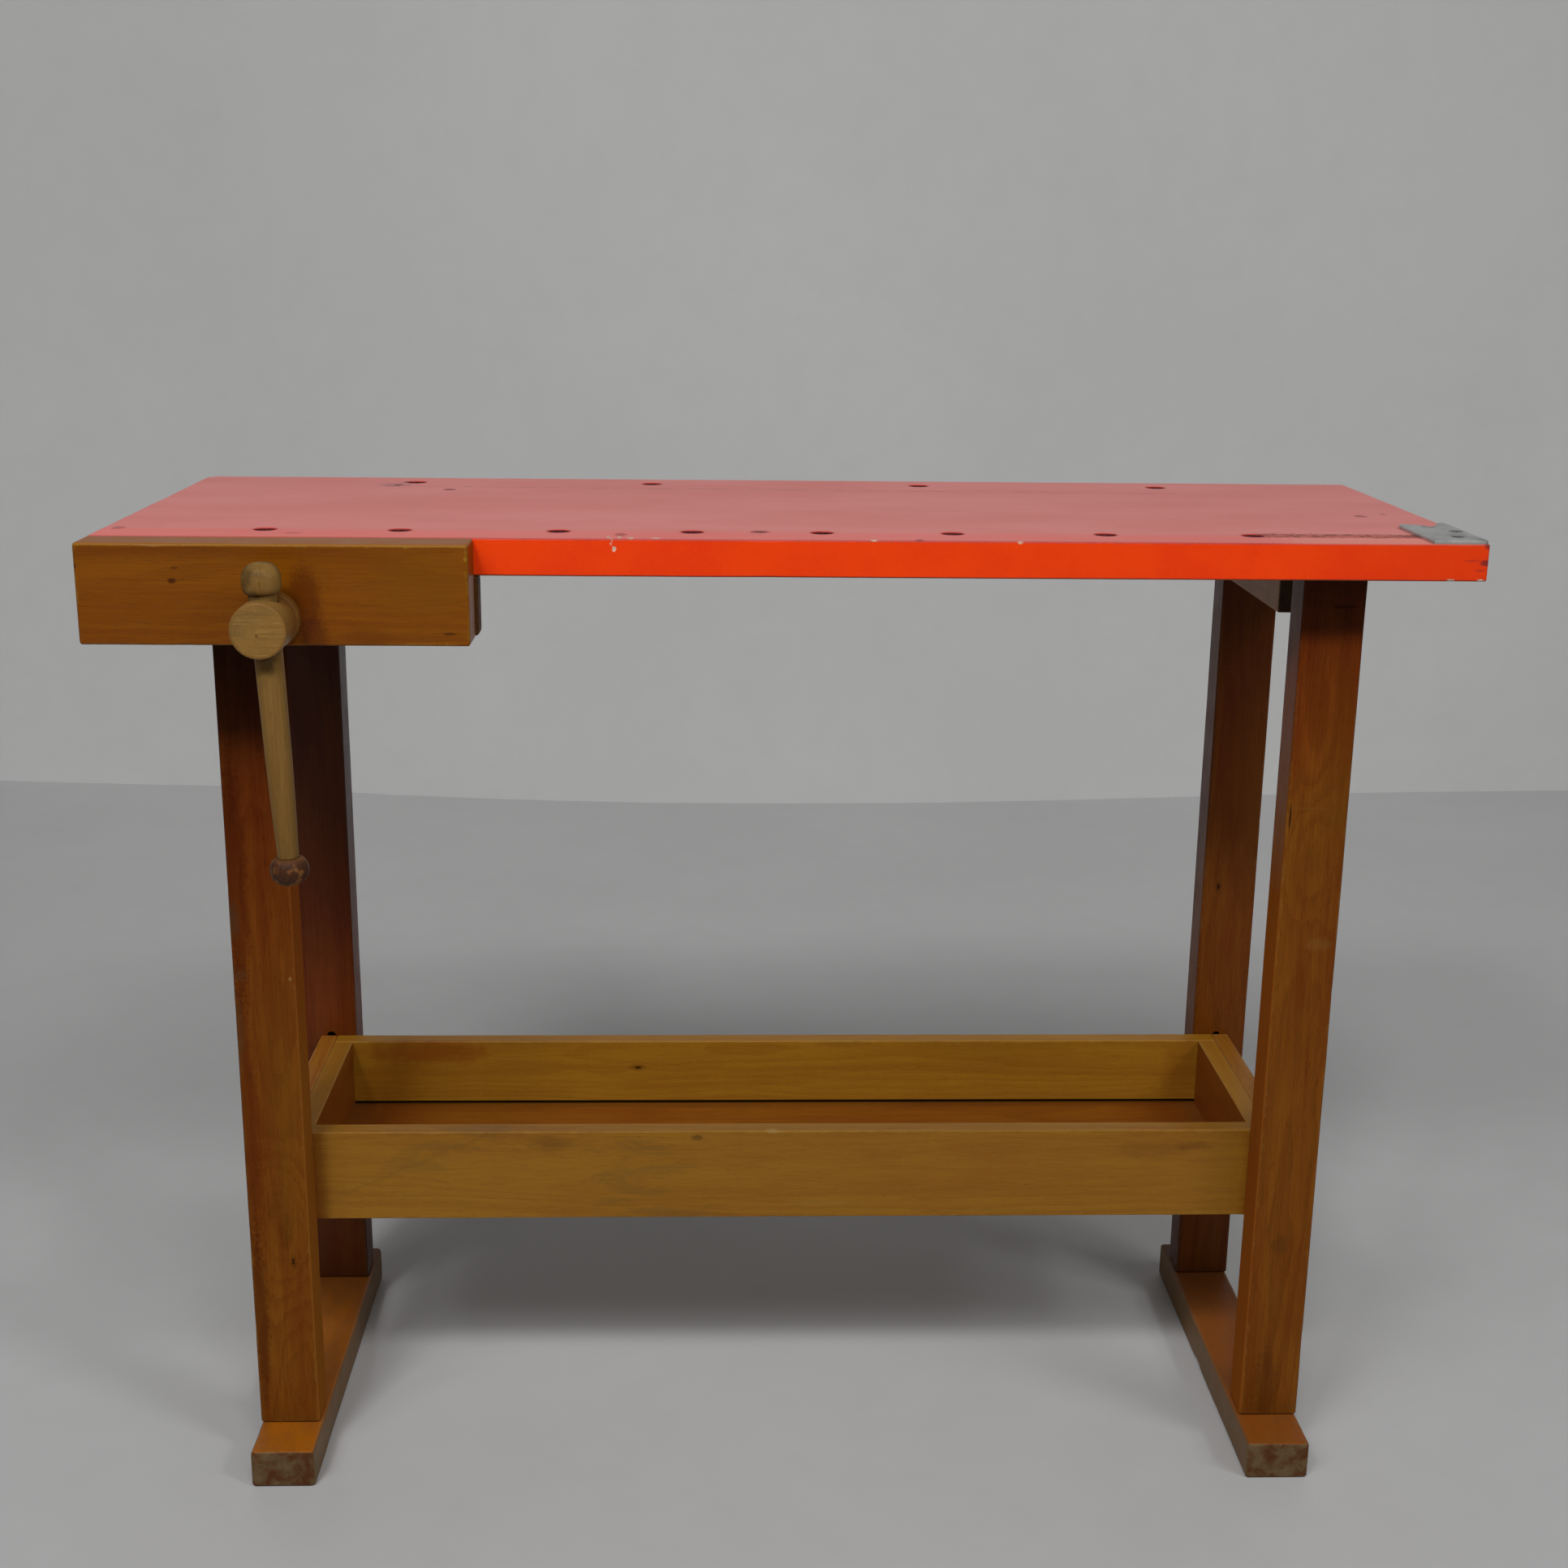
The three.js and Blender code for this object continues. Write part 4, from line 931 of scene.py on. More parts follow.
def end_marks(side):
    def f(t, P, col, k):
        x, y, z = t.sep(P)
        inner = t.m("MULTIPLY", t.step(t.m("ABSOLUTE", x), 386.0, 384.5), t.step(z, 275.6, 274.0))
        tint = (0.80, 0.50, 0.62) if side < 0 else (0.80, 0.48, 0.70)
        col = t.mix(inner, col, t.mix(1.0, col, tint, "MULTIPLY"))
        top = t.step(z, 274.4, 275.6)
        return t.mix(t.m("MULTIPLY", top, 0.45), col, srgb(164, 112, 62))

    return f


TRAY = {
    "tray_front": dict(axis="x", seed=71, heart=(-60, 8), spacing=5.5, contrast=0.30, knots=[(R(-191, 85, 266), 4.0, 0.14)], extra=front_marks),
    "tray_rear": dict(axis="x", seed=83, heart=(-52, 30), spacing=4.4, contrast=0.42, knots=[(R(-127, 276, 250.5), 1.5, 0.95)], extra=rear_marks),
    "tray_left_end": dict(axis="y", seed=89, heart=(-40, 12), spacing=4.0, contrast=0.35, knots=[], extra=end_marks(-1)),
    "tray_right_end": dict(axis="y", seed=97, heart=(-38, -12), spacing=4.0, contrast=0.35, knots=[], extra=end_marks(1)),
}
for n, k in TRAY.items():
    lo, hi = ends(n)
    mt = wood(
        n, k["axis"], lo, hi, "shelf", k["seed"], heart=k["heart"], spacing=k["spacing"], contrast=k["contrast"],
        blotch=0.35, knots=k["knots"], wear=0.28, rough=0.40, extra=k.get("extra"), streak=0.35,
    )
    o = board(n + "_board", lo, hi, k["axis"], 1.1, k["seed"], mt, wear=0.45, step=9.0)
    if n == "tray_rear":
        # the gap left along the bottom of the rear board, above the floor's edge
        cut(o, [boxm((-383.5, Yr(275.2), 216.0), (383.5, Yr(280.5), 218.3))])
    done(o, n, "bench")

lo, hi = ends("tray_floor")


def floor_marks(t, P, col, k):
    x, y, z = t.sep(P)
    # darker along the rear board, dust and grime along the ends, and darker, redder towards the ends
    dy = t.m("SUBTRACT", 137.5, y)
    g = t.step(t.m("ADD", dy, t.m("MULTIPLY", t.m("SUBTRACT", k["wn"], 0.5), 12.0)), 16.0, 1.0)
    col = t.mix(t.m("MULTIPLY", g, 0.35), col, srgb(70, 46, 30))
    dx = t.m("SUBTRACT", 383.0, t.m("ABSOLUTE", x))
    g2 = t.step(t.m("ADD", dx, t.m("MULTIPLY", t.m("SUBTRACT", k["wn"], 0.5), 30.0)), 30.0, 2.0)
    col = t.mix(t.m("MULTIPLY", t.step(dx, 110.0, 20.0), 0.45), col, srgb(112, 40, 14))
    return t.mix(t.m("MULTIPLY", g2, 0.25), col, srgb(92, 70, 58))


mt = wood("tray_floor", "x", lo, hi, "ply", 101, heart=(30, -300), spacing=7.0, contrast=0.35, blotch=0.6, wear=0.2, rough=0.42, extra=floor_marks)
o = board("tray_floor_panel", lo, hi, "x", 0.6, 101, mt, wear=0.2, step=14.0, flat=0.4)
done(o, "tray_floor", "bench")


# ------------------------------------------------------------------ worktop
def worktop_mesh():
    """Rounded slab from a hand-worn outline, peg holes and the torn groove cut into it."""
    hx, f, b = 500.0, -138.5, 221.5
    pts = []

    def edge(p, q, n):
        for i in range(n):
            u = i / n
            pts.append((p[0] + (q[0] - p[0]) * u, p[1] + (q[1] - p[1]) * u))

    edge((-hx + 2, f), (hx - 2.5, f), 120)
    for i in range(6):
        a = math.radians(-90 + 90 * i / 6)
        pts.append((hx - 2.5 + 2.5 * math.cos(a), f + 2.5 + 2.5 * math.sin(a)))
    edge((hx, f + 2.5), (hx, b - 3), 44)
    edge((hx, b - 3), (hx - 3, b), 2)
    edge((hx - 3, b), (-hx + 8, b), 120)
    edge((-hx + 8, b), (-hx, b - 7), 3)
    edge((-hx, b - 7), (-hx, f + 2), 44)
    edge((-hx, f + 2), (-hx + 2, f), 1)
    n = len(pts)
    P2 = np.array(pts)
    prev, nxt = np.roll(P2, 1, 0), np.roll(P2, -1, 0)
    tan = nxt - prev
    nor = np.stack([tan[:, 1], -tan[:, 0]], 1)
    nor /= np.linalg.norm(nor, axis=1, keepdims=True)
    z0, z1 = 745.0, 772.0
    rows, verts = [], []

    def ring(fn):
        row = []
        for i, (px, py) in enumerate(pts):
            w = noise.noise(Vector((px * 0.02, py * 0.02, 4.2)))
            w2 = max(0.0, noise.noise(Vector((px * 0.07, py * 0.07, 8.8))) - 0.25)
            r = 1.3 + 0.5 * w + 1.6 * w2
            ins, z = fn(r)
            flat = 0.12 * (0.5 + 0.5 * noise.noise(Vector((px * 0.03, py * 0.03, 1.1))))
            row.append(len(verts))
            verts.append(((px - nor[i][0] * (ins + flat)) / 1000, (py - nor[i][1] * (ins + flat)) / 1000, z / 1000))
        rows.append(row)

    K = 4
    for i in range(K + 1):
        a = math.pi / 2 * i / K
        ring(lambda r, a=a: (r * (1 - math.sin(a)), z0 + r * (1 - math.cos(a))))
    for i in range(1, 3):
        ring(lambda r, i=i: (0.0, z0 + (z1 - z0) * i / 3))
    for i in range(K, -1, -1):
        a = math.pi / 2 * i / K
        ring(lambda r, a=a: (r * (1 - math.sin(a)), z1 - r * (1 - math.cos(a))))
    faces = [tuple(reversed(rows[0])), tuple(rows[-1])]
    for a, b_ in zip(rows, rows[1:]):
        for i in range(n):
            j = (i + 1) % n
            faces.append((a[i], a[j], b_[j], b_[i]))
    return verts, faces


v, f = worktop_mesh()
top = mesh_obj("worktop_board", v, f, paint())
tools = []
for i, (hx, hy) in enumerate(HOLES_FRONT + HOLES_BACK):
    x, y, z = R(hx, hy)
    rr = 8.0
    prof = [(0, -15.0), (rr - 1.2, -15.0), (rr - 0.4, -14.2), (rr, -12.0), (rr, -1.3), (rr + 0.25, -0.6), (rr + 0.9, 0.0), (rr + 2.6, 1.2), (0, 1.2)]
    vv, ff = lathe_mesh(prof, 44, i * 3.3, 0.015)
    tools.append(cutter(place(vv, (x, y, z), (0, 0, 1)), ff))
# the torn groove: a ragged trench of varying depth and width
gv, gf, gr = [], [], []
stn = 110
for i in range(stn + 1):
    u = i / stn
    gx = 340 + (464 - 340) * u
    cy = R(0, 38.6)[1] + 1.6 * noise.noise(Vector((gx * 0.06, 0.3, 0)))
    w = 4.0 + 2.2 * noise.noise(Vector((gx * 0.13, 5.0, 0))) + 1.6 * noise.noise(Vector((gx * 0.37, 9.0, 0)))
    dpt = 1.1 + 0.7 * noise.noise(Vector((gx * 0.09, 2.0, 0))) + 0.9 * noise.noise(Vector((gx * 0.4, 3.0, 0)))
    w = max(1.2, w) * min(1, 0.25 + u * 12) * min(1, 0.3 + (1 - u) * 8)
    dpt = max(0.35, dpt)
    sec = [(-w * 1.15, 1.0), (-w * 0.95, 0.0), (-w * 0.6, -dpt * 0.75), (-w * 0.1, -dpt), (w * 0.5, -dpt * 0.85), (w * 0.9, -0.1), (w * 1.2, 1.0)]
    row = []
    for (dy, dz) in sec:
        row.append(len(gv))
        gv.append((gx / 1000, (cy + dy) / 1000, (TOP_Z + dz) / 1000))
    gr.append(row)
k_ = len(gr[0])
gf = [tuple(gr[0]), tuple(reversed(gr[-1]))]
for a, b_ in zip(gr, gr[1:]):
    for i in range(k_):
        j = (i + 1) % k_
        gf.append((a[j], a[i], b_[i], b_[j]))
tools.append(cutter(gv, gf))
cut(top, tools)
done(top, "worktop", "bench")

# ------------------------------------------------------------------ corner plate
steel_dull = metal(
    "plate_metal", srgb(186, 186, 184), srgb(160, 160, 158), 0.46, 1.0, 0.30, 0.55,
    spots=[(R(483, 22, 774.3), (5.0, 5.5, 3), srgb(84, 80, 76), 0.7), (R(492, 50, 774.3), (5.0, 5.5, 3), srgb(84, 80, 76), 0.7), (R(480, 75, 774.3), (5, 6, 3), srgb(96, 88, 82), 0.5), (R(497, 6, 774.3), (4, 5, 3), srgb(104, 96, 88), 0.5)],
)
pl = [(459, 1.2), (496, 1.2), (497.8, 1.7), (498.8, 2.8), (499.2, 4.8), (499.2, 91.5), (498.6, 95), (497.2, 96.6), (495, 96.2), (493, 94.2), (490.2, 88.4), (486.6, 81.6), (484.4, 77.2), (482, 75.2), (479.8, 75), (478.9, 77), (478.2, 80.6), (475, 83.4), (471, 85.4), (466, 87.8), (464, 88.3), (462.4, 87.2), (459.4, 81.2)]
bm = bmesh.new()
vs = [bm.verts.new(Vector(R(x, y, 772.02)) / 1000) for x, y in pl]
fc = bm.faces.new(vs)
if fc.normal.z < 0:
    fc.normal_flip()
bmesh.ops.subdivide_edges(bm, edges=bm.edges[:], cuts=3)
ext = bmesh.ops.extrude_face_region(bm, geom=bm.faces[:])
for e_ in ext["geom"]:
    if isinstance(e_, bmesh.types.BMVert):
        e_.co.z += 0.00245
bmesh.ops.recalc_face_normals(bm, faces=bm.faces[:])
me = bpy.data.meshes.new("corner_plate_sheet")
bm.to_mesh(me)
bm.free()
plate = bpy.data.objects.new("corner_plate_sheet", me)
COL.objects.link(plate)
me.materials.append(steel_dull)
bv = plate.modifiers.new("bev", "BEVEL")
bv.width = 0.0005
bv.segments = 2
bv.limit_method = "ANGLE"
bv.angle_limit = math.radians(50)
dg = bpy.context.evaluated_depsgraph_get()
me2 = bpy.data.meshes.new_from_object(plate.evaluated_get(dg))
plate.modifiers.clear()
plate.data = me2
PLATE_SCREWS = [(483, 22), (492, 50)]
cut(plate, [cyl(0, 0, R(x, y, 774.6), (0, 0, -1), 40, [(0, -1), (4.7, -1), (4.7, 0.0), (4.2, 0.5), (2.4, 2.3), (2.4, 6), (0, 6)]) for x, y in PLATE_SCREWS])
done(plate, "corner_plate", "bench")

# ------------------------------------------------------------------ wood screws
screw_metal = metal("screw_metal", srgb(132, 126, 116), srgb(92, 86, 78), 0.40, 3.0, 0.45)
screw_dark = metal("screw_dark", srgb(88, 84, 78), srgb(56, 52, 47), 0.48, 3.0, 0.5, 0.6)


def wood_screw(node, at, direction, length, turn):
    """Countersunk slotted screw: domed edge, cut slot, coarse thread to a point."""
    pro = [(0, 0.15), (2.6, 0.15), (3.45, 0.25), (3.72, 0.55), (3.6, 0.85), (2.9, 1.6), (2.05, 2.4), (1.9, 3.2)]
    v, f = lathe_mesh(pro + [(1.9, length * 0.36), (0, length * 0.36)], 36)
    mat = screw_dark if node.startswith("plate") else screw_metal
    head = mesh_obj(node + "_turned", place(v, at, direction), f, mat)
    d = Vector(direction)
    side = Vector((math.cos(turn), math.sin(turn), 0)) if abs(d.z) > 0.5 else Vector((0, math.cos(turn), math.sin(turn)))
    o2 = d.cross(side)
    a = Vector(at)
    c8 = []
    for sz in (-0.8, 1.05):
        for s1, s2 in ((-1, -1), (1, -1), (1, 1), (-1, 1)):
            c8.append(tuple((a + side * 4.6 * s1 + o2 * 0.55 * s2 + d * sz) / 1000))
    cf = [(0, 3, 2, 1), (4, 5, 6, 7), (0, 1, 5, 4), (1, 2, 6, 5), (2, 3, 7, 6), (3, 0, 4, 7)]
    tool = cutter(c8, cf)
    bmx = bmesh.new()
    bmx.from_mesh(tool.data)
    bmesh.ops.recalc_face_normals(bmx, faces=bmx.faces[:])
    bmx.to_mesh(tool.data)
    bmx.free()
    cut(head, [tool])
    # thread: one helical ridge on a tapering core
    tv, tf, rows = [], [], []
    n0, n1, pitch, segs = length * 0.34, length - 0.4, 1.9, 14
    total = int((n1 - n0) / pitch * segs)
    for i in range(total + 1):
        h = n0 + (n1 - n0) * i / total
        an = 2 * math.pi * i / segs
        tap = min(1.0, (n1 - h) / 6.0 + 0.06)
        ro, ri = 1.98 * tap, 1.35 * tap
        row = []
        for (rr, dh) in ((ri, -pitch * 0.5), (ri, -pitch * 0.16), (ro, 0.0), (ri, pitch * 0.16), (ri, pitch * 0.5), (0.02, 0.0)):
            row.append(len(tv))
            tv.append((rr * math.cos(an) / 1000, rr * math.sin(an) / 1000, (h + dh) / 1000))
        rows.append(row)
    for r0, r1 in zip(rows, rows[1:]):
        for i in range(6):
            j = (i + 1) % 6
            tf.append((r0[i], r0[j], r1[j], r1[i]))
    tf += [tuple(reversed(rows[0])), tuple(rows[-1])]
    th = mesh_obj(node + "_thread", place(tv, at, direction), tf, screw_metal)
    done(head, node, "bench")
    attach(th, "bench")


SCREWS = {}
for i, (x, y) in enumerate(PLATE_SCREWS):
    SCREWS["plate_screw_" + "ab"[i]] = (R(x, y, 774.5), (0, 0, -1), 22)
for sx, sn in ((-391, "left"), (391, "right")):
    for y, w in ((142, "front"), (252, "rear")):
        SCREWS[f"{sn}_cleat_screw_{w}"] = (R(sx, y, 700), (0, 0, 1), 57)
for w, x in (("outer", -484), ("middle", -323), ("inner", -245)):
    SCREWS["fixed_jaw_screw_" + w] = (R(x, 10, 701.5), (0, 0, 1), 56)
for s, sn in ((-1, "left"), (1, "right")):
    for y, w in ((128, "front"), (249, "rear")):
        SCREWS[f"{sn}_tray_screw_{w}"] = (R(s * 414, y, 240), (-s, 0, 0), 27)
for i, (n, (at, d, L)) in enumerate(SCREWS.items()):
    wood_screw(n, at, d, L, 0.4 + i * 1.13)

# recesses for the heads in the cleats, rails and fixed jaw are cut below, once those pieces exist
def countersink(o, names):
    tools = []
    for n in names:
        at, d, L = SCREWS[n]
        tools.append(cyl(0, 0, at, d, 32, [(0, -1), (4.3, -1), (4.3, 0.3), (4.05, 0.9), (2.3, 2.7), (2.3, min(L, 20)), (0, min(L, 20))]))
    cut(o, tools)


for sn in ("left", "right"):
    countersink(bpy.data.objects[sn + "_top_cleat_timber"], [f"{sn}_cleat_screw_front", f"{sn}_cleat_screw_rear"])
    countersink(bpy.data.objects[sn + "_lower_rail_timber"], [f"{sn}_tray_screw_front", f"{sn}_tray_screw_rear"])

# ------------------------------------------------------------------ vise
SX, SZ = -365.5, 720.0


def jaw_marks(t, P, col, k):
    x, y, z = t.sep(P)
    for at, r, c, a in (
        ((-433, -34, 746), (3.0, 3, 1.8), srgb(78, 34, 14), 0.85),
        ((-431, -34, 755), (2.6, 3, 0.9), srgb(92, 44, 18), 0.6),
        ((-243, -34, 709.5), (4.0, 3, 0.9), srgb(70, 34, 16), 0.7),
        ((-300, -34, 707), (18, 3, 5), srgb(122, 62, 16), 0.35),
        ((-500, -34, 756), (2.0, 3, 2.0), srgb(60, 40, 24), 0.7),
        ((-231, -34, 762), (1.0, 2.0, 1.6), srgb(200, 166, 120), 0.55),
        ((-231, -34, 751), (0.9, 2.0, 3.0), srgb(176, 134, 84), 0.4),
        ((-272, -34, 770), (1.4, 2.0, 1.2), srgb(186, 150, 106), 0.5),
        # painted shadow of the screw hub on the jaw's front, below and to its right
        ((-343, -34, 731), (11, 3, 25), srgb(92, 26, 8), 0.55),
        ((-337, -34, 707), (9, 3, 13), srgb(86, 26, 8), 0.45),
        ((-262, -34, 745), (34, 3, 20), srgb(150, 96, 12), 0.35),
    ):
        col = t.mix(t.m("MULTIPLY", blob(t, P, R(*at), r, 0.4, 0.5, 0.4), a), col, c)
    # a darker, redder strip under the worn top arris, and the rubbed top itself
    strip = t.m("MULTIPLY", t.step(z, 757.0, 766.0), t.m("MULTIPLY", t.step(z, 771.0, 768.5), t.step(x, -250, -330)))
    col = t.mix(t.m("MULTIPLY", strip, 0.30), col, srgb(112, 48, 14))
    up = t.step(z, 770.6, 771.4)
    col = t.mix(t.m("MULTIPLY", up, 0.58), col, srgb(202, 120, 52))
    # painted highlight along the top front arris
    arris = t.m("MULTIPLY", t.m("MULTIPLY", t.step(z, 769.4, 770.4), t.step(z, 772.2, 771.6)), t.step(y, Yr(-31.0), Yr(-32.6)))
    return t.mix(t.m("MULTIPLY", arris, t.step(k["wf"], 0.25, 0.6, 0.25, 0.5)), col, srgb(190, 140, 92))


lo, hi = ends("moving_jaw")
mt = wood(
    "moving_jaw", "x", lo, hi, "jaw", 131, heart=(-90, 12), spacing=4.6, contrast=0.34, blotch=0.45,
    wear=0.60, rough=0.36, extra=jaw_marks, streak=0.4,
)
jaw = board("moving_jaw_block", lo, hi, "x", 1.6, 131, mt, wear=0.8, step=6.0, end_r=2.0, flat=0.12)
cut(
    jaw,
    [
        cyl(13.5, 40, (SX, Yr(-37), SZ), (0, 1, 0)),
        boxm((-356, Yr(-22), 698), (-346, Yr(-14), 742.5)),
        cyl(9.25, 30, (-451, Yr(-22.5), 722), (0, 1, 0)),
        cyl(9.25, 30, (-280, Yr(-22.5), 722), (0, 1, 0)),
    ],
)
done(jaw, "moving_jaw", "jaw")

lo, hi = ends("fixed_jaw")
# tone=0.34 darkens the whole block, a painted shade for its place under the worktop behind the moving jaw
mt = wood("fixed_jaw", "x", lo, hi, "jaw", 137, heart=(-70, -10), spacing=4.2, contrast=0.4, wear=0.3, rough=0.60, tone=0.34)
fj = board("fixed_jaw_block", lo, hi, "x", 2.2, 137, mt, wear=0.8, step=7.0)
cut(
    fj,
    [
        cyl(13.5, 30, (SX, Yr(-5), SZ), (0, 1, 0)),
        cyl(9.5, 30, (-451, Yr(-5), 722), (0, 1, 0)),
        cyl(9.5, 30, (-280, Yr(-5), 722), (0, 1, 0)),
    ],
)
countersink(fj, ["fixed_jaw_screw_outer", "fixed_jaw_screw_middle", "fixed_jaw_screw_inner"])
done(fj, "fixed_jaw", "bench")


def hub_marks(t, P, col, k):
    x, y, z = t.sep(P)
    # end grain on the hub's face: pith dot, faint arcs, a rubbed rim and horizontal saw marks
    rel = t.com(t.m("SUBTRACT", x, SX), 0.0, t.m("SUBTRACT", z, SZ))
    rad = t.v("LENGTH", rel)
    pith = t.v("LENGTH", t.com(t.m("SUBTRACT", x, SX - 0.6), 0.0, t.m("SUBTRACT", z, SZ - 3.0)))
    face = t.step(y, Yr(-82.0), Yr(-82.7))
    dot = t.m("MULTIPLY", t.step(pith, 1.5, 0.6), face)
    saw = t.noise(t.v("MULTIPLY", P, (0.045, 0.2, 0.62)), 1.0, 4, 0.6)
    col = t.mix(t.m("MULTIPLY", t.m("MULTIPLY", t.step(saw, 0.44, 0.66), face), 0.34), col, srgb(134, 98, 54))
    lite = t.noise(t.v("MULTIPLY", t.v("ADD", P, (31.0, 0.0, 7.0)), (0.04, 0.2, 0.55)), 1.0, 3, 0.6)
    col = t.mix(t.m("MULTIPLY", t.m("MULTIPLY", t.step(lite, 0.52, 0.68), face), 0.4), col, srgb(212, 176, 112))
    sm = t.noise(t.v("MULTIPLY", P, (0.07, 0.1, 0.13)), 1.0, 4, 0.6)
    upper = t.m("MULTIPLY", t.step(t.m("SUBTRACT", z, x), SZ - SX - 4, SZ - SX + 16), face)
    col = t.mix(t.m("MULTIPLY", t.m("MULTIPLY", t.step(sm, 0.36, 0.64), upper), 0.40), col, srgb(122, 106, 82))
    rim = t.m("MULTIPLY", t.m("MULTIPLY", t.step(rad, 16.0, 19.2), t.step(y, Yr(-80.5), Yr(-82.5))), 0.30)
    col = t.mix(rim, col, srgb(150, 98, 48))
    warm = t.step(y, Yr(-74), Yr(-50))
    col = t.mix(t.m("MULTIPLY", warm, 0.55), col, srgb(150, 92, 40))
    return t.mix(t.m("MULTIPLY", dot, 0.6), col, srgb(70, 44, 24))


mt = wood("vise_screw", "y", (SX - 60, Yr(-120), SZ - 60), (SX + 60, Yr(190), SZ + 60), "turned", 151, heart=(0.5, -0.5), spacing=2.3, contrast=0.28, blotch=0.3, wear=0.0, rough=0.42, extra=hub_marks, streak=0.3)
hubp = [(0, -83), (10, -83), (17.2, -82.97), (18.5, -82.75), (19.15, -82.3), (19.42, -81.5), (19.5, -80.0), (19.5, -66), (19.4, -56), (19.5, -49.6), (19.2, -47.9), (18.4, -46.9), (17.2, -46.5), (16.2, -46.2), (15.9, -45.4), (15.9, -43.2), (12.4, -43.0), (12.4, -23), (9.0, -22.5), (9.0, -13.5), (12.0, -13.2), (12.0, -8), (0, -8)]
hv, hf = lathe_mesh([(r, y + 83) for r, y in hubp], 72, 2.0, 0.004)
hub = mesh_obj("vise_screw_hub", place(hv, (SX, Yr(-83), SZ), (0, 1, 0)), hf, mt)
hd = Vector((-0.041, 0, 1)).normalized()
HM = Vector((SX + 1.0, Yr(-60.5), SZ))
bar_hole = [(0, -30), (13.2, -30), (12.2, -21.5), (10.7, -18.2), (10.45, -16), (10.45, 16), (10.7, 18.2), (12.2, 21.5), (13.2, 30), (0, 30)]
bv_, bf_ = lathe_mesh([(r, s + 30) for r, s in bar_hole], 56)
cut(hub, [cutter(place(bv_, HM + hd * -30, hd), bf_)])
done(hub, "vise_screw", "screw")

# the wooden screw's thread: one ridge wound round the shaft, inside the shaft's CAD radius
tv, tf, rows = [], [], []
pitch, segs = 6.0, 40
h0, h1 = -9.5, 144.0
total = int((h1 - h0) / pitch * segs)
for i in range(total + 1):
    h = h0 + (h1 - h0) * i / total
    an = -2 * math.pi * i / segs
    fade = min(1.0, (h1 - h) / 5.0 + 0.1, (h - h0) / 5.0 + 0.1)
    ro = 9.9 + 2.95 * fade
    row = []
    for (rr, dh) in ((9.6, -3.0), (9.9, -2.3), (ro - 0.25, -0.42), (ro, 0.0), (ro - 0.25, 0.42), (9.9, 2.3), (9.6, 3.0), (4.0, 0.0)):
        row.append(len(tv))
        tv.append((rr * math.cos(an) / 1000, rr * math.sin(an) / 1000, (h + dh) / 1000))
    rows.append(row)
for r0, r1 in zip(rows, rows[1:]):
    for i in range(8):
        j = (i + 1) % 8
        tf.append((r0[j], r0[i], r1[i], r1[j]))
tf += [tuple(rows[0]), tuple(reversed(rows[-1]))]
thread = mesh_obj("vise_screw_thread", place(tv, (SX, Yr(0), SZ), (0, 1, 0)), tf, mt, 60)
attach(thread, "screw")
core = turned("vise_screw_core", [(0, 0), (9.7, 0), (9.7, 152.5), (8.2, 154.3), (0, 154.5)], (SX, Yr(-9), SZ), (0, 1, 0), mt, 56, 3.0, 0.004)
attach(core, "screw")

mt = wood("thrust_collar", "y", (SX - 60, Yr(-60), SZ - 60), (SX + 60, Yr(0), SZ + 60), "turned", 157, heart=(2, 30), spacing=2.6, contrast=0.3, wear=0.0, rough=0.42, tone=0.80)
colp = [(13.6, 0.3), (14.2, 0), (17.8, 0), (19.0, 0.35), (19.8, 1.2), (20, 2.4), (20, 8.6), (19.8, 9), (13.6, 9), (13.6, 0.3)]
v_, f_ = [], []
seg = 72
for (r, h) in colp[:-1]:
    for i in range(seg):
        a = 2 * math.pi * i / seg
        v_.append((r * math.cos(a) / 1000, r * math.sin(a) / 1000, h / 1000))
nr = len(colp) - 1
for k in range(nr):
    k2 = (k + 1) % nr
    for i in range(seg):
        j = (i + 1) % seg
        f_.append((k * seg + i, k * seg + j, k2 * seg + j, k2 * seg + i))
col_o = mesh_obj("thrust_collar_ring", place(v_, (SX, Yr(-43), SZ), (0, 1, 0)), f_, mt)
done(col_o, "thrust_collar", "jaw")


def bar_marks(t, P, col, k):
    x, y, z = t.sep(P)
    grime = t.m("MULTIPLY", t.step(z, 672, 700), t.step(t.noise(P, 0.05, 4, 0.6), 0.42, 0.62))
    col = t.mix(t.m("MULTIPLY", grime, 0.55), col, srgb(70, 52, 36))
    low = t.step(t.m("ADD", z, t.m("MULTIPLY", t.m("SUBTRACT", k["wn"], 0.5), 40.0)), 640, 560)
    col = t.mix(t.m("MULTIPLY", low, 0.3), col, srgb(146, 112, 66))
    sm = t.step(t.noise(t.v("MULTIPLY", P, (0.07, 0.07, 0.02)), 1.0, 4, 0.65), 0.55, 0.72)
    return t.mix(t.m("MULTIPLY", sm, 0.35), col, srgb(104, 82, 60))


bar_lo, bar_hi = ends("vise_handle")
mt = wood("vise_handle", "z", (SX - 60, Yr(-120), 500), (SX + 60, Yr(0), 900), "turned", 163, heart=(3, -14), spacing=2.6, contrast=0.32, blotch=0.5, wear=0.0, rough=0.52, extra=bar_marks)
BASE = -181.0
bar = [(5.6, -181), (5.9, -180.5), (5.9, -165.6), (7.2, -165.5), (7.5, -165.0), (7.65, -157), (8.2, -140), (8.75, -120), (9.15, -95), (9.45, -70), (9.7, -40), (9.8, -22), (9.8, 21.2), (10.0, 21.9)]
knob = smooth_profile([(10.3, 22.0), (11.7, 22.9), (12.9, 25.2), (13.35, 28.2), (13.4, 31.8), (12.9, 35.7), (11.3, 39.2), (8.6, 41.9), (5.2, 43.3), (2.2, 43.75), (0, 43.8)], 4)
pr = [(0, -181)] + bar + knob
v_, f_ = lathe_mesh([(r, s - BASE) for r, s in pr], 64, 5.0, 0.012)
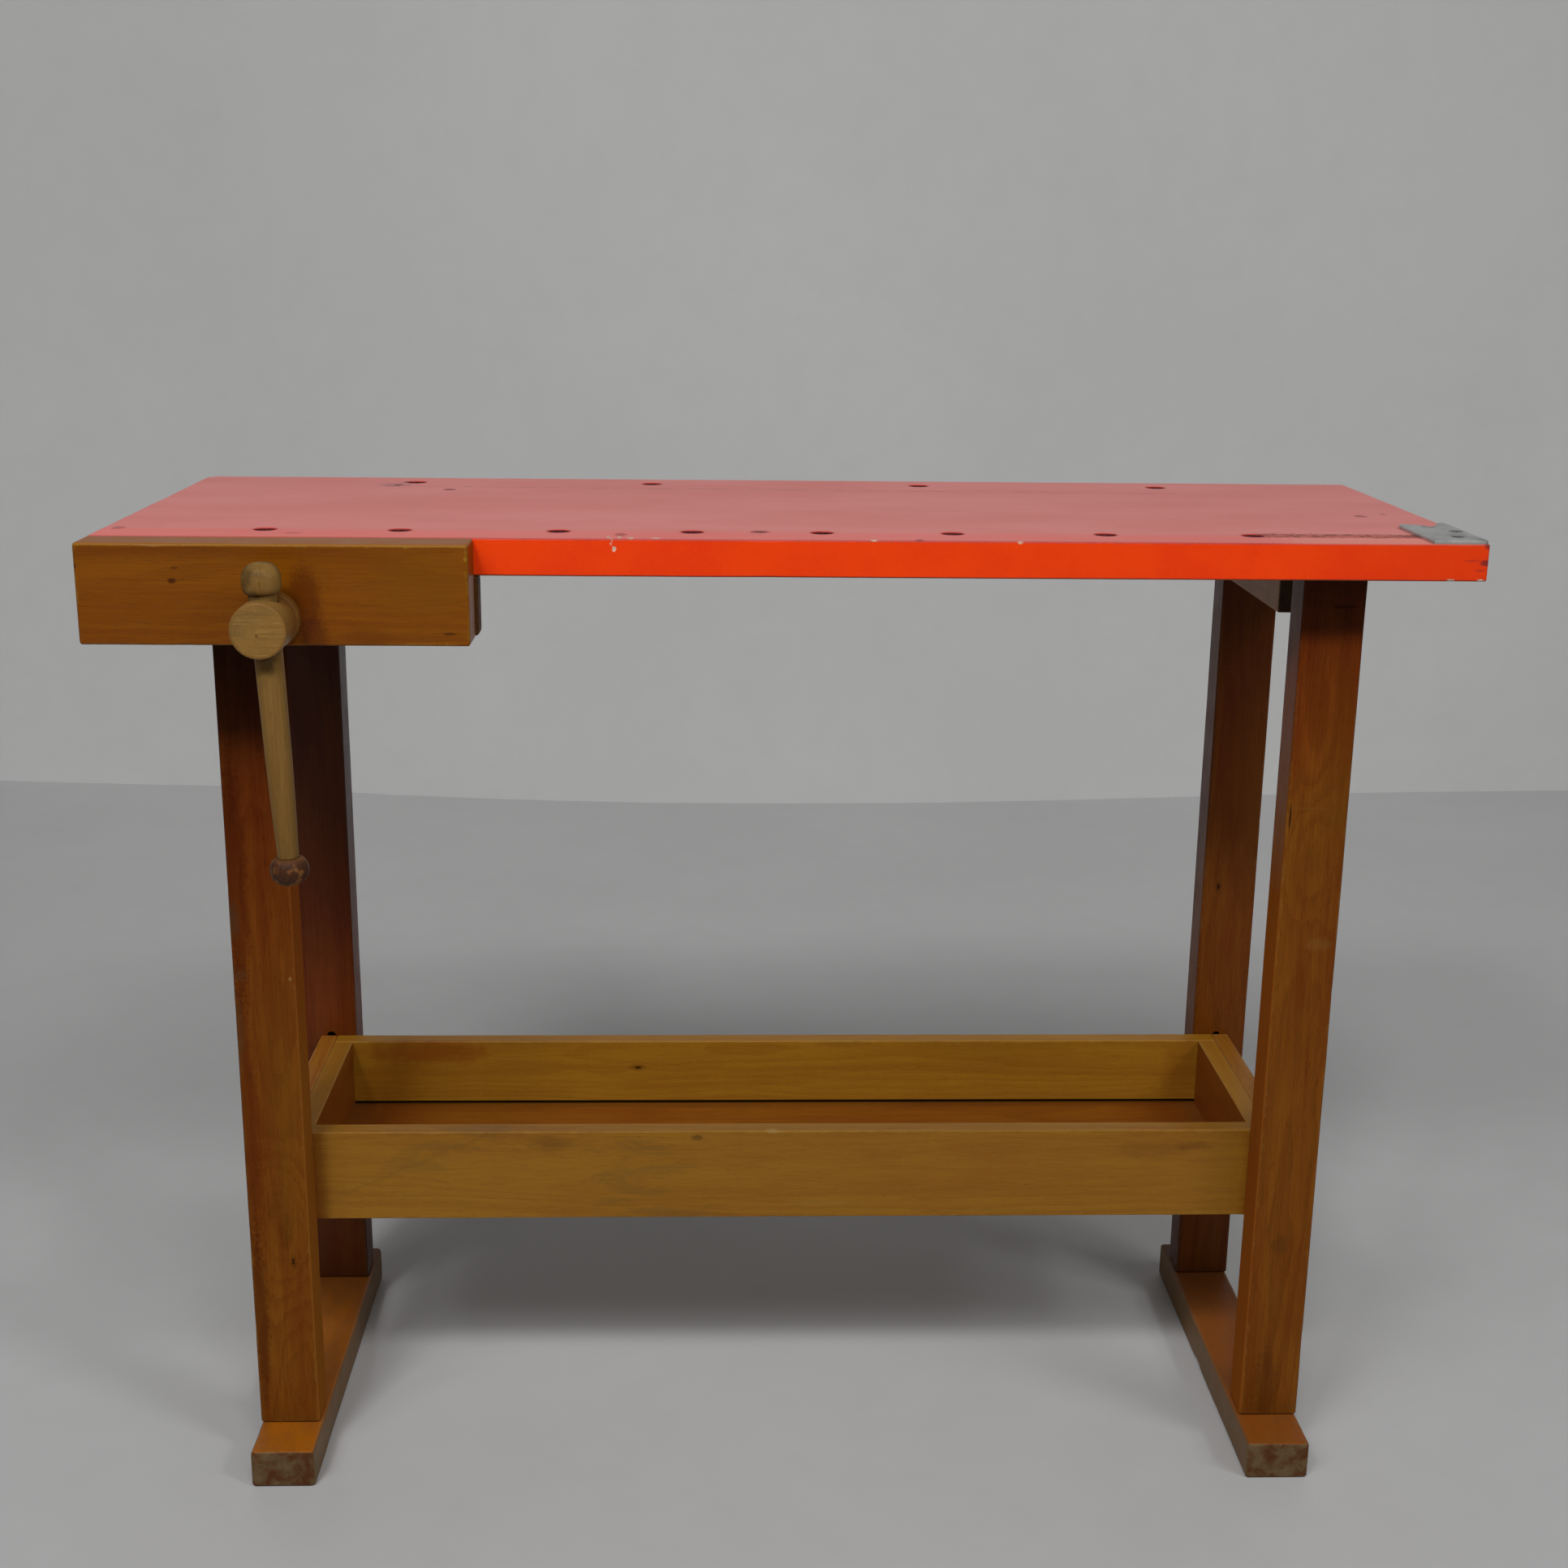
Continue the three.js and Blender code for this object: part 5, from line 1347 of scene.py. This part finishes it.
bo = mesh_obj("vise_handle_bar", place(v_, HM + hd * BASE, hd), f_, mt, 50)
done(bo, "vise_handle", "handle")


def knob_marks(t, P, col, k):
    x, y, z = t.sep(P)
    stain = t.step(t.m("ADD", t.noise(P, 0.09, 5, 0.6), t.m("MULTIPLY", t.step(z, 556, 549), 0.16)), 0.50, 0.60)
    col = t.mix(t.m("MULTIPLY", stain, 0.75), col, srgb(66, 42, 36))
    topr = t.m("MULTIPLY", t.step(z, 551, 555), 0.45)
    col = t.mix(topr, col, srgb(140, 108, 78))
    low = t.m("MULTIPLY", t.step(z, 539, 536), t.step(k["wf"], 0.4, 0.6))
    col = t.mix(t.m("MULTIPLY", low, 0.5), col, srgb(160, 134, 106))
    patch = t.step(t.noise(t.v("ADD", P, (9.0, 4.0, 2.0)), 0.13, 4, 0.6), 0.54, 0.62)
    return t.mix(t.m("MULTIPLY", patch, 0.5), col, srgb(170, 128, 84))


mt = wood("handle_knob", "z", (SX - 60, Yr(-120), 480), (SX + 60, Yr(0), 620), "dark", 167, heart=(-4, 20), spacing=2.4, contrast=0.4, wear=0.0, rough=0.55, extra=knob_marks)
kp = smooth_profile([(0, -186), (4.2, -185.7), (8.4, -184.2), (11.6, -181.3), (13.4, -177.3), (13.75, -173.6), (12.9, -170.1), (11.2, -167.4), (9.6, -166.2), (8.2, -165.9)], 4)
kp += [(6.6, -165.8), (6.4, -166.2), (6.4, -181.4), (0, -181.5)]
v_, f_ = lathe_mesh([(r, s + 186) for r, s in kp], 64, 7.0, 0.015)
ko = mesh_obj("handle_knob_turned", place(v_, HM + hd * -186, hd), f_, mt, 50)
done(ko, "handle_knob", "handle")

for i, (n, x) in enumerate((("guide_rod_left", -451), ("guide_rod_right", -280))):
    mt = wood(n, "y", (x - 60, Yr(-60), 660), (x + 60, Yr(200), 790), "turned", 173 + i, heart=(4, -26), spacing=2.8, contrast=0.3, wear=0.0, rough=0.42)
    o = turned(n + "_dowel", [(0, 0), (8.6, 0), (8.95, 0.5), (8.95, 169), (8.5, 170.6), (7.0, 171.9), (0, 172)], (x, Yr(-22), 722), (0, 1, 0), mt, 48, i + 9.0, 0.006)
    done(o, n, "jaw")

lo, hi = ends("garter_key")
mt = wood("garter_key", "z", lo, hi, "dark", 179, heart=(10, -20), spacing=2.2, contrast=0.4, wear=0.5, rough=0.45)
o = board("garter_key_slip", lo, hi, "z", 0.7, 179, mt, wear=0.4, step=5.0)
done(o, "garter_key", "jaw")

# ------------------------------------------------------------------ stage
def stage_mat(name, color, rough, amp, scale):
    m, t, p = new_mat(name)
    P = coords(t)
    a = t.noise(P, 0.0016 * scale, 4, 0.6)
    b = t.noise(P, 0.02 * scale, 5, 0.6)
    c = t.mix(t.step(a, 0.3, 0.7), tuple(v * (1 - amp) for v in color), tuple(v * (1 + amp) for v in color))
    c = t.mix(t.m("MULTIPLY", t.step(b, 0.35, 0.75), 0.10), c, tuple(v * 0.8 for v in color))
    t.put(p.inputs["Base Color"], c)
    t.put(p.inputs["Roughness"], rough)
    t.put(p.inputs["Normal"], t.bump(b, 0.15, 0.002))
    return m


fm = stage_mat("stage_floor", (0.50, 0.50, 0.50), 0.55, 0.03, 1.0)
wm = stage_mat("stage_wall", (0.62, 0.62, 0.615), 0.8, 0.02, 1.0)
# the wall's foot wanders a little, as old plaster does
FOOT = [(-6.0, 2.12), (-1.357, 2.051), (-1.139, 2.031), (-0.916, 2.016), (-0.644, 1.963), (-0.437, 1.933), (-0.176, 1.913), (0.064, 1.910), (0.332, 1.917), (0.554, 1.935), (0.780, 1.959), (1.010, 1.983), (1.240, 1.997), (1.511, 2.010), (6.0, 2.08)]
fl = mesh_obj("stage_floor", [(x, y, 0) for x, y in [(-6, -6), (6, -6)] + FOOT[::-1]], [tuple(range(2 + len(FOOT)))], fm)
wv = [(x, y, 0) for x, y in FOOT] + [(x, y, 4.5) for x, y in FOOT]
nf = len(FOOT)
wl = mesh_obj("stage_wall", wv, [(i, i + 1, nf + i + 1, nf + i) for i in range(nf - 1)], wm, 80)

w = bpy.data.worlds.new("w")
sc.world = w
w.use_nodes = True
bg = w.node_tree.nodes.get("Background") or w.node_tree.nodes.new("ShaderNodeBackground")
bg.inputs[0].default_value = (1.0, 1.0, 1.0, 1.0)
bg.inputs[1].default_value = 0.075


def area(name, at, target, size, energy, color=(1, 1, 1)):
    d = bpy.data.lights.new(name, "AREA")
    d.shape = "RECTANGLE"
    d.size, d.size_y = size
    d.energy = energy
    d.color = color
    o = bpy.data.objects.new(name, d)
    COL.objects.link(o)
    o.location = at
    o.rotation_euler = (Vector(target) - Vector(at)).to_track_quat("-Z", "Y").to_euler()
    return o


# a row of overhead fixtures in front of the bench, and light spilling in from further off
for x, k in ((-1.7, 8.3), (-0.9, 19.0), (0.2, 11.5), (2.1, 13.7), (3.1, 3.0)):
    area(f"row_{x}", (x, -1.84, 2.5), (0, 0.1, 0.2), (0.6, 0.3), k)


def sun(az, el, k, spread=9.0):
    d = bpy.data.lights.new(f"sun_{az}_{el}", "SUN")
    d.energy = k
    d.angle = math.radians(spread)
    o = bpy.data.objects.new(d.name, d)
    COL.objects.link(o)
    a_, e_ = math.radians(az), math.radians(el)
    to = Vector((math.sin(a_) * math.cos(e_), -math.cos(a_) * math.cos(e_), math.sin(e_)))
    o.location = to * 3
    o.rotation_euler = (-to).to_track_quat("-Z", "Y").to_euler()


for az, el, k in ((-18, 47, 0.52), (5, 45, 0.155), (30, 42, 0.11), (55, 38, 0.17), (55, 52, 0.05)):
    sun(az, el, k, 11.0)

# ------------------------------------------------------------------ camera
yaw, pitch, roll = -0.03436644, 0.26510973, 0.01154442
fpx = 2504.8505670360973
C = Vector((-0.0564041187, -1.43937233542 - Y0, 0.98335303673))
cyw, syw = math.cos(yaw), math.sin(yaw)
fwd = Vector((-syw * math.cos(pitch), cyw * math.cos(pitch), -math.sin(pitch)))
right = Vector((cyw, syw, 0))
up = right.cross(fwd)
Rv = math.cos(roll) * right + math.sin(roll) * up
Uv = -math.sin(roll) * right + math.cos(roll) * up
cd = bpy.data.cameras.new("cam")
cd.sensor_width = 36.0
cd.lens = fpx / 1932.0 * 36.0
cam = bpy.data.objects.new("cam", cd)
COL.objects.link(cam)
M = Matrix.Identity(4)
for i in range(3):
    M[i][0], M[i][1], M[i][2], M[i][3] = Rv[i], Uv[i], -fwd[i], C[i]
cam.matrix_world = M
sc.camera = cam
sc.view_settings.view_transform = "Standard"
sc.view_settings.look = "None"
